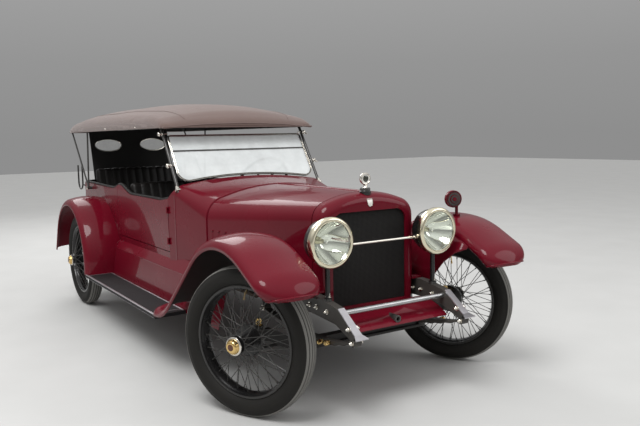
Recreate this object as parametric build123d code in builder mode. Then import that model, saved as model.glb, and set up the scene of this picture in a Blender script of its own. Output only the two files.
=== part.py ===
from build123d import *
from math import atan2, cos, degrees, pi, radians, sin, sqrt
import os

# A 1920s touring car. Millimetres, +X forward, +Y to the car's left, +Z up.
# The origin is on the ground, under the middle of the overall length.

os.makedirs("parts", exist_ok=True)

# Overall reach and wheels
wheelbase = 3230
front_reach = 540
rear_reach = 1050
tyre_radius = 412
tyre_width = 124
rim_radius = 296
half_track = 785
steer_rest = 26.5
kingpin_inset = 100

# Clearances
seat_gap = 0.3
panel_gap = 6

# Frame
rail_top = 620
rail_depth = 105
rail_outer = 400
rail_width = 46
rail_wall = 6
rail_tail = 735
kick_start = 2700
kick_end = 2870
kick_top = 690

# Body
floor_thickness = 25
wall = 40
sheet = 5
body_half = 622
body_bottom_half = 612
body_belt = 880
body_top = 1065
body_hump = 1110
door_dip = 1045
door_front = 1480
door_rear = 2700
body_rear = 905
body_rear_half = 545
sill_height = 30

# Hood and radiator
hood_front = -30
hood_rear = 950
hood_bottom = 742
hood_hinge_height = 1166
core_half = 264
core_bottom = 520
core_top = 1062
core_front = -100
shell_front = -112
shell_bottom = 500

front_axle_x = (front_reach + wheelbase + rear_reach) / 2 - front_reach
rear_axle_x = front_axle_x - wheelbase
kingpin_y = half_track - kingpin_inset


def back(distance):
    """X of a place this far behind the front axle."""
    return front_axle_x - distance


def export(piece, name):
    """Label a finished piece and write its file."""
    piece.label = name
    export_step(piece, f"parts/{name}.step")


def both_sides(piece):
    """A left-hand piece together with its mirror image on the right."""
    return Compound(children=[piece, mirror(piece, about=Plane.XZ)])


def largest(piece):
    """The biggest solid of a trimmed piece, without the crumbs a cut leaves."""
    return Part(piece.solids().sort_by(SortBy.VOLUME)[-1].wrapped)


def rod(start, end, radius):
    """A round bar from one point to another, in the part being built."""
    run = Vector(*end) - Vector(*start)
    with BuildSketch(Plane(origin=start, z_dir=run)) as section:
        Circle(radius)
    extrude(section.sketch, amount=run.length)


def block(low, high):
    """A box from its lowest to its highest corner, in the part being built."""
    size = [b - a for a, b in zip(low, high)]
    middle = tuple((a + b) / 2 for a, b in zip(low, high))
    with Locations(middle):
        Box(*size)


def arch_points(half, top, shoulder, crown):
    """Height where a side ends and the point where shoulder and crown arcs meet."""
    rise = sqrt((crown - shoulder) ** 2 - (half - shoulder) ** 2)
    side_top = top - crown + rise
    turn = atan2(rise, half - shoulder)
    meet = (crown * cos(turn), top - crown + crown * sin(turn))
    return side_top, meet, turn


# Wheels, modelled with Z running outboard along the wheel's own axis
tyre_bead = 38
bead_depth = 14
tread_half = 46
tread_drop = 13
rim_flange = 5
rim_thickness = 14
spindle_radius = 20
hub_radius = 36
hub_face = 122
hub_tail = -38
outer_flange = 56
outer_flange_place = 98
inner_flange = 86
inner_flange_place = -34
inner_flange_depth = 30
spoke_size = 5
spokes_per_row = 20
spoke_lean = 34
brake_radius = 165
brake_wall = 6
brake_tail = -88

with BuildPart() as tyre:
    with BuildSketch(Plane.XZ):
        with BuildLine():
            inner = rim_radius + seat_gap
            bead_top = inner + bead_depth
            shoulder = tyre_radius - tread_drop
            bulge = (bead_top + shoulder) / 2
            Line((inner, -tyre_bead), (inner, tyre_bead))
            Line((inner, tyre_bead), (bead_top, tyre_bead))
            ThreePointArc((bead_top, tyre_bead), (bulge, tyre_width / 2), (shoulder, tread_half))
            ThreePointArc((shoulder, tread_half), (tyre_radius, 0), (shoulder, -tread_half))
            ThreePointArc((shoulder, -tread_half), (bulge, -tyre_width / 2), (bead_top, -tyre_bead))
            Line((bead_top, -tyre_bead), (inner, -tyre_bead))
        make_face()
    revolve(axis=Axis.Z)

hub_grip = 8
rim_aim = 12


def spoke(hub_point, rim_point, lean):
    """A straight spoke from a hub flange to the rim, leaning round the axis."""
    tilt = radians(lean)
    foot = Vector(hub_point[0] * cos(tilt), hub_point[0] * sin(tilt), hub_point[1])
    run = Vector(rim_point[0], 0, rim_point[1]) - foot
    with BuildPart() as bar:
        with BuildSketch(Plane(origin=foot, z_dir=run)):
            Rectangle(spoke_size, spoke_size)
        extrude(amount=run.length)
    return bar.part


def wire_wheel(hub_outline):
    """Rim, hub and the crossed spokes between them."""
    seat = rim_radius - rim_thickness
    edge = tyre_bead + seat_gap
    with BuildPart() as wheel:
        with BuildSketch(Plane.XZ):
            with BuildLine():
                Polyline(
                    (seat, -edge + rim_thickness), (seat, edge - rim_thickness),
                    (rim_radius - rim_flange, edge + rim_flange),
                    (rim_radius + bead_depth - 1, edge + rim_flange),
                    (rim_radius + bead_depth - 1, edge), (rim_radius, edge),
                    (rim_radius, -edge), (rim_radius + bead_depth - 1, -edge),
                    (rim_radius + bead_depth - 1, -edge - rim_flange),
                    (rim_radius - rim_flange, -edge - rim_flange), close=True,
                )
            make_face()
            with BuildLine():
                Polyline(*hub_outline, close=True)
            make_face()
        revolve(axis=Axis.Z)
        rim_reach = seat + rim_thickness / 2
        rows = (
            (outer_flange - hub_grip, outer_flange_place + 3, rim_aim),
            (inner_flange - hub_grip, inner_flange_place + inner_flange_depth - 3, -rim_aim),
        )
        for hub_reach, hub_place, rim_place in rows:
            pair = [
                spoke((hub_reach, hub_place), (rim_reach, rim_place), lean)
                for lean in (spoke_lean, -spoke_lean)
            ]
            with PolarLocations(0, spokes_per_row // 2):
                add(pair)
    return wheel.part


bore = spindle_radius + seat_gap
bore_end = hub_face - 12
hub_outline = (
    (bore, hub_tail), (bore, bore_end), (0, bore_end), (0, hub_face), (hub_radius, hub_face),
    (hub_radius, outer_flange_place + 6), (outer_flange, outer_flange_place + 6),
    (outer_flange, outer_flange_place), (hub_radius, outer_flange_place),
    (hub_radius, inner_flange_place + inner_flange_depth),
    (inner_flange, inner_flange_place + inner_flange_depth),
    (inner_flange, inner_flange_place), (hub_radius, inner_flange_place), (hub_radius, hub_tail),
)
front_wheel = wire_wheel(hub_outline)
drum_face = inner_flange_place - 1
drum_outline = hub_outline[:-2] + (
    (inner_flange, drum_face), (brake_radius, drum_face), (brake_radius, brake_tail),
    (brake_radius - brake_wall, brake_tail), (brake_radius - brake_wall, drum_face - brake_wall),
    (hub_radius, drum_face - brake_wall), (hub_radius, hub_tail - brake_wall),
    (bore, hub_tail - brake_wall),
)
rear_wheel = wire_wheel(drum_outline[1:])

cap_flange = 50
cap_flange_depth = 7
cap_radius = 36
cap_reach = 34

with BuildPart() as hub_cap:
    with BuildSketch(Plane.XY.offset(hub_face)):
        Circle(cap_flange)
    extrude(amount=cap_flange_depth)
    chamfer(hub_cap.edges().sort_by(Axis.Z)[-1], length=3)
    with BuildSketch(Plane.XY.offset(hub_face + cap_flange_depth)):
        Circle(cap_radius)
    extrude(amount=cap_reach - cap_flange_depth)
    fillet(hub_cap.edges().sort_by(Axis.Z)[-1], radius=10)


def wheel_place(side, front):
    """Where a wheel stands: Z outboard, and turned with the steering in front."""
    turn = radians(steer_rest) if front else 0
    outward = Vector(-side * sin(turn), side * cos(turn), 0)
    if front:
        middle = Vector(front_axle_x, side * kingpin_y, tyre_radius) + outward * kingpin_inset
    else:
        middle = Vector(rear_axle_x, side * half_track, tyre_radius)
    return Plane(origin=middle, x_dir=(0, 0, 1), z_dir=outward)


corners = (
    ("front_left", 1, True), ("front_right", -1, True),
    ("rear_left", 1, False), ("rear_right", -1, False),
)
for corner, side, front in corners:
    place = wheel_place(side, front).location
    export(tyre.part.moved(place), f"tyre_{corner}")
    export((front_wheel if front else rear_wheel).moved(place), f"wire_wheel_{corner}")
    export(hub_cap.part.moved(place), f"hub_cap_{corner}")

# Front axle: a drop-forged beam that ends in bosses for the kingpins
axle_drop_height = 314
beam_height = 60
beam_width = 50
beam_web = 14
beam_flange = 14
drop_start = 440
drop_end = 610
boss_radius = 27
boss_height = 70
kingpin_radius = 12
ear_height = 22

with BuildPart() as front_axle:
    with BuildSketch(Plane.YZ.offset(front_axle_x)):
        with BuildLine():
            half = beam_height / 2
            top = tyre_radius + half
            low = axle_drop_height - half
            Polyline(
                (-kingpin_y, top), (-drop_end, top), (-drop_start, low + beam_height),
                (drop_start, low + beam_height), (drop_end, top), (kingpin_y, top),
                (kingpin_y, top - beam_height), (drop_end + half, top - beam_height),
                (drop_start + half, low), (-drop_start - half, low),
                (-drop_end - half, top - beam_height), (-kingpin_y, top - beam_height), close=True,
            )
        make_face()
    extrude(amount=beam_width / 2, both=True)
    for side in (1, -1):
        with BuildSketch(Plane.YZ.offset(front_axle_x + side * beam_width / 2)):
            with BuildLine():
                inset = beam_flange
                Polyline(
                    (-drop_start, low + beam_height - inset), (drop_start, low + beam_height - inset),
                    (drop_start, low + inset), (-drop_start, low + inset), close=True,
                )
            make_face()
        extrude(amount=-side * (beam_width - beam_web) / 2, mode=Mode.SUBTRACT)
    with Locations((front_axle_x, kingpin_y, tyre_radius), (front_axle_x, -kingpin_y, tyre_radius)):
        Cylinder(boss_radius, boss_height)
        Cylinder(kingpin_radius + seat_gap, boss_height, mode=Mode.SUBTRACT)
export(front_axle.part, "front_axle")

# Steering knuckles: a yoke round the boss, the kingpin, the spindle and an arm to the tie rod
arm_length = 150
tie_height = 300
arm_radius = 11
yoke_gap = 6
ball_radius = 9
eye_height = 24
spindle_reach = kingpin_inset + bore_end - 4


def knuckle(side):
    """The left (1) or right (-1) knuckle, turned as the wheels are."""
    ear_bottom = tyre_radius - boss_height / 2 - seat_gap - ear_height
    ear_top = tyre_radius + boss_height / 2 + seat_gap
    web_start = boss_radius + yoke_gap
    web_end = web_start + ear_height
    with BuildPart() as piece:
        for low in (ear_bottom, ear_top):
            with BuildSketch(Plane.XY.offset(low)):
                Circle(boss_radius)
                with Locations((0, side * web_end / 2)):
                    Rectangle(2 * boss_radius, web_end)
            extrude(amount=ear_height)
        block((-boss_radius, min(side * web_start, side * web_end), ear_bottom),
              (boss_radius, max(side * web_start, side * web_end), ear_top + ear_height))
        rod((0, 0, ear_bottom), (0, 0, ear_top + ear_height), kingpin_radius)
        rod((0, side * web_start, tyre_radius), (0, side * spindle_reach, tyre_radius), spindle_radius)
        rod((-boss_radius / 2, 0, ear_bottom + arm_radius), (-arm_length, 0, tie_height + eye_height),
            arm_radius)
        rod((-arm_length, 0, tie_height - eye_height / 2), (-arm_length, 0, tie_height + eye_height),
            ball_radius)
    turned = Location((front_axle_x, side * kingpin_y, 0), (0, 0, steer_rest))
    return piece.part.moved(turned)


export(knuckle(1), "knuckle_left")
export(knuckle(-1), "knuckle_right")

# Tie rod between the two arms, with an eye on each ball pin
eye_radius = 19
tie_radius = 10
arm_x = front_axle_x - arm_length * cos(radians(steer_rest))
arm_shift = -arm_length * sin(radians(steer_rest))

with BuildPart() as tie_rod:
    rod((arm_x, -kingpin_y + arm_shift, tie_height), (arm_x, kingpin_y + arm_shift, tie_height), tie_radius)
    with Locations((arm_x, kingpin_y + arm_shift, tie_height), (arm_x, -kingpin_y + arm_shift, tie_height)):
        Cylinder(eye_radius, eye_height)
        Cylinder(ball_radius + seat_gap, 2 * eye_height, mode=Mode.SUBTRACT)
export(tie_rod.part, "tie_rod")

# Leaf springs, as the frame needs to know them
leaf_width = 48
leaf_thickness = 8
eye_outer = 20
eye_pin = 9
springs = (
    # side position, middle behind the front axle, eye height, half length,
    # rise, leaf count, pin reach, hanger top
    (rail_outer - rail_width / 2, 0, 432, 484, 48, 5, 0, rail_top - rail_depth),
    (460, wheelbase, 572, 620, 74, 6, 86, 0),
)

# Frame: two channel rails with down-curved horns, and the cross-members that tie their webs
rail_profile = (
    (-505, 470), (-340, 588), (-150, rail_top), (kick_start, rail_top), (kick_end, kick_top),
    (3480, kick_top),
    (wheelbase + rail_tail, 560), (wheelbase + rail_tail, 500), (3440, 590), (2900, 590),
    (2740, rail_top - rail_depth), (-120, rail_top - rail_depth), (-330, 500), (-480, 440),
)
rail_rounds = (12, 60, 200, 200, 120, 120, 12, 12, 120, 120, 200, 150, 60, 12)
cross_members = (
    # distance behind the front axle, top height, width, depth
    (65, 600, 60, 70), (1400, 600, 60, 70), (1950, 600, 60, 70), (2960, 670, 60, 70),
    (3600, 648, 50, 70), (3915, 560, 50, 45),
)
rail_inner = rail_outer - rail_width

with BuildPart() as frame:
    outline = [(back(d), z) for d, z in rail_profile]
    with BuildSketch(Plane.XZ.offset(-rail_outer)) as rail_side:
        with BuildLine():
            FilletPolyline(*outline, radius=rail_rounds, close=True)
        make_face()
    extrude(amount=rail_width)
    with BuildSketch(Plane.XZ.offset(-rail_inner)):
        add(rail_side.sketch_local)
        offset(amount=-rail_wall, kind=Kind.INTERSECTION, mode=Mode.REPLACE)
        with Locations((back(-510), 500)):
            Rectangle(900, 600, mode=Mode.SUBTRACT)
    extrude(amount=-(rail_width - rail_wall), mode=Mode.SUBTRACT)
    front_eye, front_eye_half = springs[0][2], springs[0][3]
    with BuildSketch(Plane.XZ.offset(-rail_outer)):
        with Locations((back(-front_eye_half), front_eye)):
            Circle(eye_outer + seat_gap)
    extrude(amount=rail_width, mode=Mode.SUBTRACT)
    mirror(about=Plane.XZ)
export(frame.part, "frame_rails")

web_inner = rail_outer - rail_wall
with BuildPart() as members:
    for distance, top, width, depth in cross_members:
        block((back(distance) - width / 2, -web_inner, top - depth),
              (back(distance) + width / 2, web_inner, top))
    add(frame.part, mode=Mode.SUBTRACT)
export(members.part, "cross_members")

# Leaf springs: thin bowed leaves, shorter towards the axle, with an eye at each end of the main leaf
def leaf_spring(side_place, middle, eye_top, half_length, rise, leaves, pin_reach, hanger_top):
    """A pack of leaves whose ends turn up to the eyes."""
    bend = (half_length ** 2 + rise ** 2) / (2 * rise)
    low = eye_top - rise
    with BuildPart() as pack:
        for number in range(leaves):
            reach = half_length * (1 - number / (leaves + 1))
            outer = bend + number * leaf_thickness
            with BuildSketch(Plane.XZ.offset(-side_place)):
                with Locations((back(middle), low + bend)):
                    Circle(outer + leaf_thickness)
                    Circle(outer, mode=Mode.SUBTRACT)
                with Locations((back(middle), low)):
                    Rectangle(2 * reach, 4 * rise, mode=Mode.INTERSECT)
            extrude(amount=leaf_width / 2, both=True)
        for end in (-half_length, half_length):
            with BuildSketch(Plane.XZ.offset(-side_place)):
                with Locations((back(middle + end), eye_top)):
                    Circle(eye_outer)
            extrude(amount=leaf_width / 2, both=True)
            if pin_reach:
                with BuildSketch(Plane.XZ.offset(-rail_outer)):
                    with Locations((back(middle + end), eye_top)):
                        Circle(eye_pin)
                extrude(amount=-pin_reach)
        block((back(middle) - 40, side_place - leaf_width / 2, low - leaves * leaf_thickness),
              (back(middle) + 40, side_place + leaf_width / 2, low))
        if hanger_top:
            block((back(middle + half_length) - 12, side_place - 20, eye_top + eye_outer / 2),
                  (back(middle + half_length) + 12, side_place + 20, hanger_top))
    return pack.part


for name, row in zip(("springs_front", "springs_rear"), springs):
    export(both_sides(leaf_spring(*row)), name)

# Engine and gearbox, plain blocks at their real place and size, on arms that meet the rails
gearbox_end = 1330

with BuildPart() as engine:
    block((back(890), -150, 400), (back(160), 150, 960))
    block((back(gearbox_end), -120, 390), (back(890), 120, 600))
    for distance in (230, 800):
        block((back(distance) - 35, -rail_outer + rail_wall, 560),
              (back(distance) + 35, rail_outer - rail_wall, 600))
export(engine.part, "engine_block")

# Rear axle: differential housing, tubes with brake backing plates, shafts and torque tube
axle_tube = 38
housing_radius = 135
backing_radius = brake_radius - 12
backing_place = half_track + brake_tail - 5
torque_tube_radius = 34

with BuildPart() as rear_axle:
    for side in (1, -1):
        rod((rear_axle_x, 0, tyre_radius), (rear_axle_x, side * backing_place, tyre_radius), axle_tube)
        rod((rear_axle_x, side * (backing_place - 8), tyre_radius),
            (rear_axle_x, side * backing_place, tyre_radius), backing_radius)
        rod((rear_axle_x, side * backing_place, tyre_radius),
            (rear_axle_x, side * (half_track + bore_end - 4), tyre_radius), spindle_radius)
    with Locations((rear_axle_x, 0, tyre_radius)):
        Sphere(housing_radius)
    rod((rear_axle_x, 0, tyre_radius), (back(gearbox_end), 0, 470), torque_tube_radius)
    pad_y, pad_half = springs[1][0], leaf_width / 2
    for side in (1, -1):
        with Locations((rear_axle_x, side * pad_y, tyre_radius + axle_tube - 8)):
            Box(70, 2 * pad_half, 16)
    add(engine.part, mode=Mode.SUBTRACT)
export(rear_axle.part, "rear_axle")

# Exhaust: pipe and muffler hung from the cross-members
pipe_radius = 24
muffler_radius = 70
pipe_y = -235
pipe_height = 420

with BuildPart() as exhaust:
    rod((back(700), -149, 520), (back(900), pipe_y, pipe_height), pipe_radius)
    rod((back(885), pipe_y, pipe_height), (back(3050), pipe_y, pipe_height), pipe_radius)
    rod((back(2050), pipe_y, pipe_height), (back(2650), pipe_y, pipe_height), muffler_radius)
    for distance, top, width, depth in cross_members[1:3]:
        block((back(distance) - 10, pipe_y - 20, pipe_height),
              (back(distance) + 10, pipe_y + 20, top - depth))
    add(engine.part, mode=Mode.SUBTRACT)
export(exhaust.part, "exhaust")

# Fuel tank between the tails of the rails
tank_radius = 118
tank_half = 320
tank_place = 3760
tank_height = 520
strap = 10
strap_half = 20
strap_reach = 100

with BuildPart() as tank:
    rod((back(tank_place), -tank_half, tank_height), (back(tank_place), tank_half, tank_height), tank_radius)
    fillet(tank.edges().filter_by(GeomType.CIRCLE), radius=25)
    for y in (-200, 200):
        for (distance, top, width, depth), side, lift in zip(cross_members[-2:], (-1, 1), (-53, -35)):
            near, far = back(distance) + side * width / 2, back(distance) + side * strap_reach
            block((min(near, far), y - strap_half, top + lift),
                  (max(near, far), y + strap_half, top + lift + strap))
export(tank.part, "fuel_tank")

# Front brightwork: spreader tube and the polished plates on the horns
spreader_radius = 15
spreader_place = -335
spreader_height = 556

with BuildPart() as spreader:
    rod((back(spreader_place), -rail_inner, spreader_height),
        (back(spreader_place), rail_inner, spreader_height), spreader_radius)
export(spreader.part, "spreader_bar")

plate_half = 24
fishtail_half = 42
plate_thickness = 5
plate_line = ((-540, 458), (-505, 471), (-352, 581))

with BuildPart() as horn_plate:
    centre_y = rail_outer - rail_width / 2
    tip, bend, root = [(back(d), z) for d, z in plate_line]
    with BuildSketch(Plane.XZ.offset(-centre_y)) as side_view:
        with BuildLine():
            Polyline(tip, bend, root, (root[0], root[1] + plate_thickness + 3),
                     (bend[0] + 1, bend[1] + plate_thickness + 2),
                     (tip[0], tip[1] + plate_thickness), close=True)
        make_face()
    extrude(amount=fishtail_half, both=True)
    with BuildSketch(Plane.XY) as top_view:
        with BuildLine():
            Polyline((tip[0], centre_y - fishtail_half), (tip[0], centre_y + fishtail_half),
                     (bend[0], centre_y + plate_half), (root[0], centre_y + plate_half - 4),
                     (root[0], centre_y - plate_half + 4), (bend[0], centre_y - plate_half), close=True)
        make_face()
    extrude(amount=rail_top, mode=Mode.INTERSECT)
    add(frame.part, mode=Mode.SUBTRACT)
export(both_sides(largest(horn_plate.part)), "horn_plates")

# Bush that guides the starting crank
crank_bore = 12
crank_radius = 21
crank_height = 474
crank_ends = (-285, -362)
with BuildPart() as crank_bush:
    rod((back(crank_ends[0]), 0, crank_height), (back(crank_ends[1]), 0, crank_height), crank_radius)
    with BuildSketch(Plane.YZ.offset(back(crank_ends[0]))):
        with Locations((0, crank_height)):
            Circle(crank_bore)
    extrude(amount=crank_ends[0] - crank_ends[1], mode=Mode.SUBTRACT)
export(crank_bush.part, "crank_bush")

# Curved apron between the horns, with a flat tongue under the radiator core
apron_rear = (-120, 512)
apron_middle = (-270, 500)
apron_front = (-375, 448)
tongue = (-34, 507, 519)
with BuildPart() as apron:
    upper = [(back(d), z) for d, z in (apron_rear, apron_middle, apron_front)]
    lower = [(x - share * sheet, z - sheet) for (x, z), share in zip(upper, (0, 0.3, 1))]
    with BuildSketch(Plane.XZ):
        with BuildLine():
            ThreePointArc(*upper)
            Line(upper[-1], lower[-1])
            ThreePointArc(*lower)
            Line(lower[0], upper[0])
        make_face()
    extrude(amount=rail_inner, both=True)
    block((back(tongue[0]), -core_half + sheet, tongue[1]), (upper[0][0], core_half - sheet, tongue[2]))
    with BuildSketch(Plane.YZ.offset(back(0))):
        with Locations((0, crank_height)):
            Circle(crank_radius)
    extrude(amount=-2 * crank_ends[1], mode=Mode.SUBTRACT)
    add(frame.part, mode=Mode.SUBTRACT)
export(apron.part, "front_apron")

# Arched sections shared by the hood, radiator shell, cowl and top
# columns: distance behind the front axle, half width, top height, shoulder radius, crown radius
shell_section = (hood_front, 345, 1170, 110, 800)
cowl_section = (hood_rear, 555, 1170, 150, 1400)
screen_section = (1372, 610, 1212, 75, 3500)
pillar_section = (door_front, body_half, 1212, 75, 3500)


def arch_outline(section, bottom, inset=0):
    """Close an arch of the given section on its bottom line, in a YZ plane."""
    half, top, shoulder, crown = section[1] - inset, section[2] - inset, section[3] - inset, section[4] - inset
    side_top, meet, turn = arch_points(half, top, shoulder, crown)
    bow = (pi / 2 + turn) / 2
    mid_crown = (crown * cos(bow), top - crown + crown * sin(bow))
    mid_shoulder = (half - shoulder + shoulder * cos(turn / 2), side_top + shoulder * sin(turn / 2))
    with BuildLine() as line:
        for side in (1, -1):
            Line((side * half, bottom), (side * half, side_top))
            ThreePointArc((side * half, side_top), (side * mid_shoulder[0], mid_shoulder[1]),
                          (side * meet[0], meet[1]))
            ThreePointArc((side * meet[0], meet[1]), (side * mid_crown[0], mid_crown[1]), (0, top))
        Line((-half, bottom), (half, bottom))
    return line.line


def arch_body(sections, bottom, inset=0, stretch=0):
    """A solid lofted straight through arched sections."""
    with BuildPart() as body:
        for index, section in enumerate(sections):
            shift = stretch * (1 if index == len(sections) - 1 else -1 if index == 0 else 0)
            with BuildSketch(Plane.YZ.offset(back(section[0] + shift))):
                add(arch_outline(section, bottom, inset))
                make_face()
        loft(ruled=True)
    return body.part


def half_arch(section, bottom, inset, start):
    """One side of an arched panel as a thin closed band, from near the middle to its lower edge."""
    bands = []
    for cut in (0, inset):
        half, top, shoulder, crown = section[1] - cut, section[2] - cut, section[3] - cut, section[4] - cut
        side_top, meet, turn = arch_points(half, top, shoulder, crown)
        first = (start, top - crown + sqrt(crown ** 2 - start ** 2))
        bow = (atan2(first[1] - top + crown, start) + turn) / 2
        bands.append((
            (half, bottom), (half, side_top),
            (half - shoulder + shoulder * cos(turn / 2), side_top + shoulder * sin(turn / 2)), meet,
            (crown * cos(bow), top - crown + crown * sin(bow)), first,
        ))
    with BuildLine() as line:
        for foot, side_end, mid_shoulder, meet, mid_crown, first in bands:
            Line(foot, side_end)
            ThreePointArc(side_end, mid_shoulder, meet)
            ThreePointArc(meet, mid_crown, first)
        Line(bands[0][0], bands[1][0])
        Line(bands[0][-1], bands[1][-1])
    return line.line


# Hood panels hang on a rod along the middle
hinge_rod = 11
hood_sheet = 4


def section_between(distance):
    """The hood's arched section at a place between its two ends."""
    share = (distance - hood_front) / (hood_rear - hood_front)
    return (distance,) + tuple(a + share * (b - a) for a, b in zip(shell_section[1:], cowl_section[1:]))


hood_ends = [section_between(hood_front + panel_gap), section_between(hood_rear - panel_gap)]
with BuildPart() as hood:
    for section in hood_ends:
        with BuildSketch(Plane.YZ.offset(back(section[0]))):
            add(half_arch(section, hood_bottom, hood_sheet, hinge_rod + seat_gap))
            make_face()
    loft(ruled=True)

louvre_count = 7
louvre_first = 470
louvre_pitch = 68
louvre_height = 845
louvre_length = 90
with BuildPart() as louvres:
    for number in range(louvre_count):
        distance = louvre_first + number * louvre_pitch
        side = section_between(distance)[1]
        with BuildSketch(Plane.XY.offset(louvre_height - louvre_length / 2)):
            with BuildLine():
                Polyline((back(distance), side - 3), (back(distance + 16), side + 7),
                         (back(distance + 24), side - 1), close=True)
            make_face()
        extrude(amount=louvre_length)
hood_left = hood.part + louvres.part
export(hood_left, "hood_left")
export(mirror(hood_left, about=Plane.XZ), "hood_right")

# Radiator shell: arched hoop with a rounded front round the core
shell_wall = 6
shell_round = 60
with BuildPart() as shell:
    for section in (shell_section, (shell_front, 336, 1158, 105, 780)):
        with BuildSketch(Plane.YZ.offset(back(section[0]))):
            add(arch_outline(section, shell_bottom))
            make_face()
    loft(ruled=True)
    front_edges = shell.edges().group_by(Axis.X)[-1].sort_by(Axis.Z)[1:]
    fillet(front_edges, radius=shell_round)
    core_corner = 70
    with BuildSketch(Plane.YZ.offset(back(hood_front) - 1)):
        with Locations((0, (core_bottom + core_top) / 2)):
            RectangleRounded(2 * core_half, core_top - core_bottom, core_corner)
        with Locations((0, core_bottom)):
            Rectangle(2 * core_half, 4 * core_corner, align=(Align.CENTER, Align.CENTER))
    extrude(amount=hood_front - shell_front + 2, mode=Mode.SUBTRACT)
    with BuildSketch(Plane.YZ.offset(back(hood_front) - 1)):
        add(arch_outline((0, 345 - shell_wall, 1170 - shell_wall, 104, 794), shell_bottom - 1))
        make_face()
    extrude(amount=30, mode=Mode.SUBTRACT)
    with BuildSketch(Plane.YZ.offset(back(hood_front))):
        for side in (1, -1):
            with Locations((side * (rail_inner + 20), rail_top - 65)):
                Rectangle(130, 130)
    extrude(amount=-shell_front + hood_front, mode=Mode.SUBTRACT)
    for side in (1, -1):
        with Locations((back(hood_front) + 42, side * (rail_outer + 2 * 335) / 3, rail_top + 5)):
            Box(60, 75, 10)
export(shell.part, "radiator_shell")

# Radiator core
with BuildPart() as core:
    with BuildSketch(Plane.YZ.offset(back(hood_front) + 2)):
        with Locations((0, (core_bottom + core_top) / 2)):
            RectangleRounded(2 * (core_half - seat_gap), core_top - core_bottom - 2 * seat_gap,
                             core_corner - seat_gap)
        with Locations((0, core_bottom + seat_gap + core_corner)):
            Rectangle(2 * (core_half - seat_gap), 2 * core_corner)
    extrude(amount=hood_front - core_front - 4)
export(core.part, "radiator_core")

# Radiator cap with a round gauge standing on it
cap_place = -66
shell_top = 1168
gauge_height = 1245
gauge_radius = 36
with BuildPart() as radiator_cap:
    with BuildSketch(Plane.XY.offset(shell_top - 24)):
        with Locations((back(cap_place), 0)):
            Circle(32)
    extrude(amount=44)
    with BuildSketch(Plane.XY.offset(shell_top + 20)):
        with Locations((back(cap_place), 0)):
            Circle(15)
    extrude(amount=gauge_height - gauge_radius + 6 - shell_top - 20)
    with BuildSketch(Plane.YZ.offset(back(cap_place) - 12)):
        with Locations((0, gauge_height)):
            Circle(gauge_radius)
    extrude(amount=24)
    with BuildSketch(Plane.YZ.offset(back(cap_place) + 8)):
        with Locations((0, gauge_height)):
            Circle(gauge_radius - 8)
    extrude(amount=4, mode=Mode.SUBTRACT)
    add(shell.part, mode=Mode.SUBTRACT)
export(largest(radiator_cap.part), "radiator_cap")

# Cowl: from the hood to the front doors, flared up to the windshield
cowl_wall = 8
firewall = 8
pillar_wall = 38
cowl_sections = (cowl_section, screen_section, pillar_section)
with BuildPart() as cowl:
    add(arch_body(cowl_sections, rail_top))
    add(arch_body(cowl_sections, rail_top - 100, inset=cowl_wall, stretch=20), mode=Mode.SUBTRACT)
    for side in (1, -1):
        block((back(door_front), min(side * (body_half - 10), side * (body_half - pillar_wall)), rail_top),
              (back(1372), max(side * (body_half - 10), side * (body_half - pillar_wall)), 1095))
    with BuildSketch(Plane.XZ):
        with BuildLine():
            Polyline((back(1385), 1400), (back(1372), 1150), (back(door_front) - 1, body_top + 4),
                     (back(door_front) - 1, 1400), close=True)
        make_face()
    extrude(amount=2 * body_half, both=True, mode=Mode.SUBTRACT)
    with BuildSketch(Plane.YZ.offset(back(hood_rear))) as bulkhead:
        add(arch_outline(cowl_section, rail_top))
        make_face()
    extrude(amount=-firewall)
    rod((back(hood_rear), 0, hood_hinge_height),
        (back(hood_front) - seat_gap, 0, hood_hinge_height), hinge_rod)
export(cowl.part, "cowl")

# Body: one shell cut into the tub and the two doors
body_tail = wheelbase + body_rear
body_taper = 2950
tail_corner = 150
side_view = (
    (door_front, rail_top), (kick_start, rail_top), (kick_end, kick_top), (3960, kick_top), (body_tail, 860),
    (body_tail - 15, body_top + 10), (2800, body_top + 10), (2640, body_hump + 14), (2380, door_dip),
    (1640, door_dip), (door_front, body_top + 4),
)
side_rounds = (1, 200, 120, 90, 120, 20, 300, 240, 480, 600, 1)
body_section = ((body_bottom_half, rail_top), (body_half + 2, body_belt), (body_half - 8, body_hump + 30))


def body_solid():
    """The body as one solid, from its outline on three sides."""
    with BuildPart() as solid:
        with BuildSketch(Plane.XZ):
            with BuildLine():
                FilletPolyline(*[(back(d), z) for d, z in side_view], radius=side_rounds, close=True)
            make_face()
        extrude(amount=2 * body_half, both=True)
        with BuildSketch(Plane.XY):
            with BuildLine():
                Polyline((back(door_front), -body_half - 9), (back(body_taper), -body_half - 9),
                         (back(body_tail), -body_rear_half), (back(body_tail), body_rear_half),
                         (back(body_taper), body_half + 9), (back(door_front), body_half + 9), close=True)
            make_face()
            fillet(vertices().group_by(Axis.X)[0], radius=tail_corner)
        extrude(amount=2 * body_hump, mode=Mode.INTERSECT)
        with BuildSketch(Plane.YZ):
            with BuildLine():
                (low, low_z), (mid, mid_z), (high, high_z) = body_section
                ThreePointArc((low, low_z), (mid, mid_z), (high, high_z))
                Line((high, high_z), (-high, high_z))
                ThreePointArc((-high, high_z), (-mid, mid_z), (-low, low_z))
                Line((-low, low_z), (low, low_z))
            make_face()
        extrude(amount=3 * wheelbase, both=True, mode=Mode.INTERSECT)
    return solid.part


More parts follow.
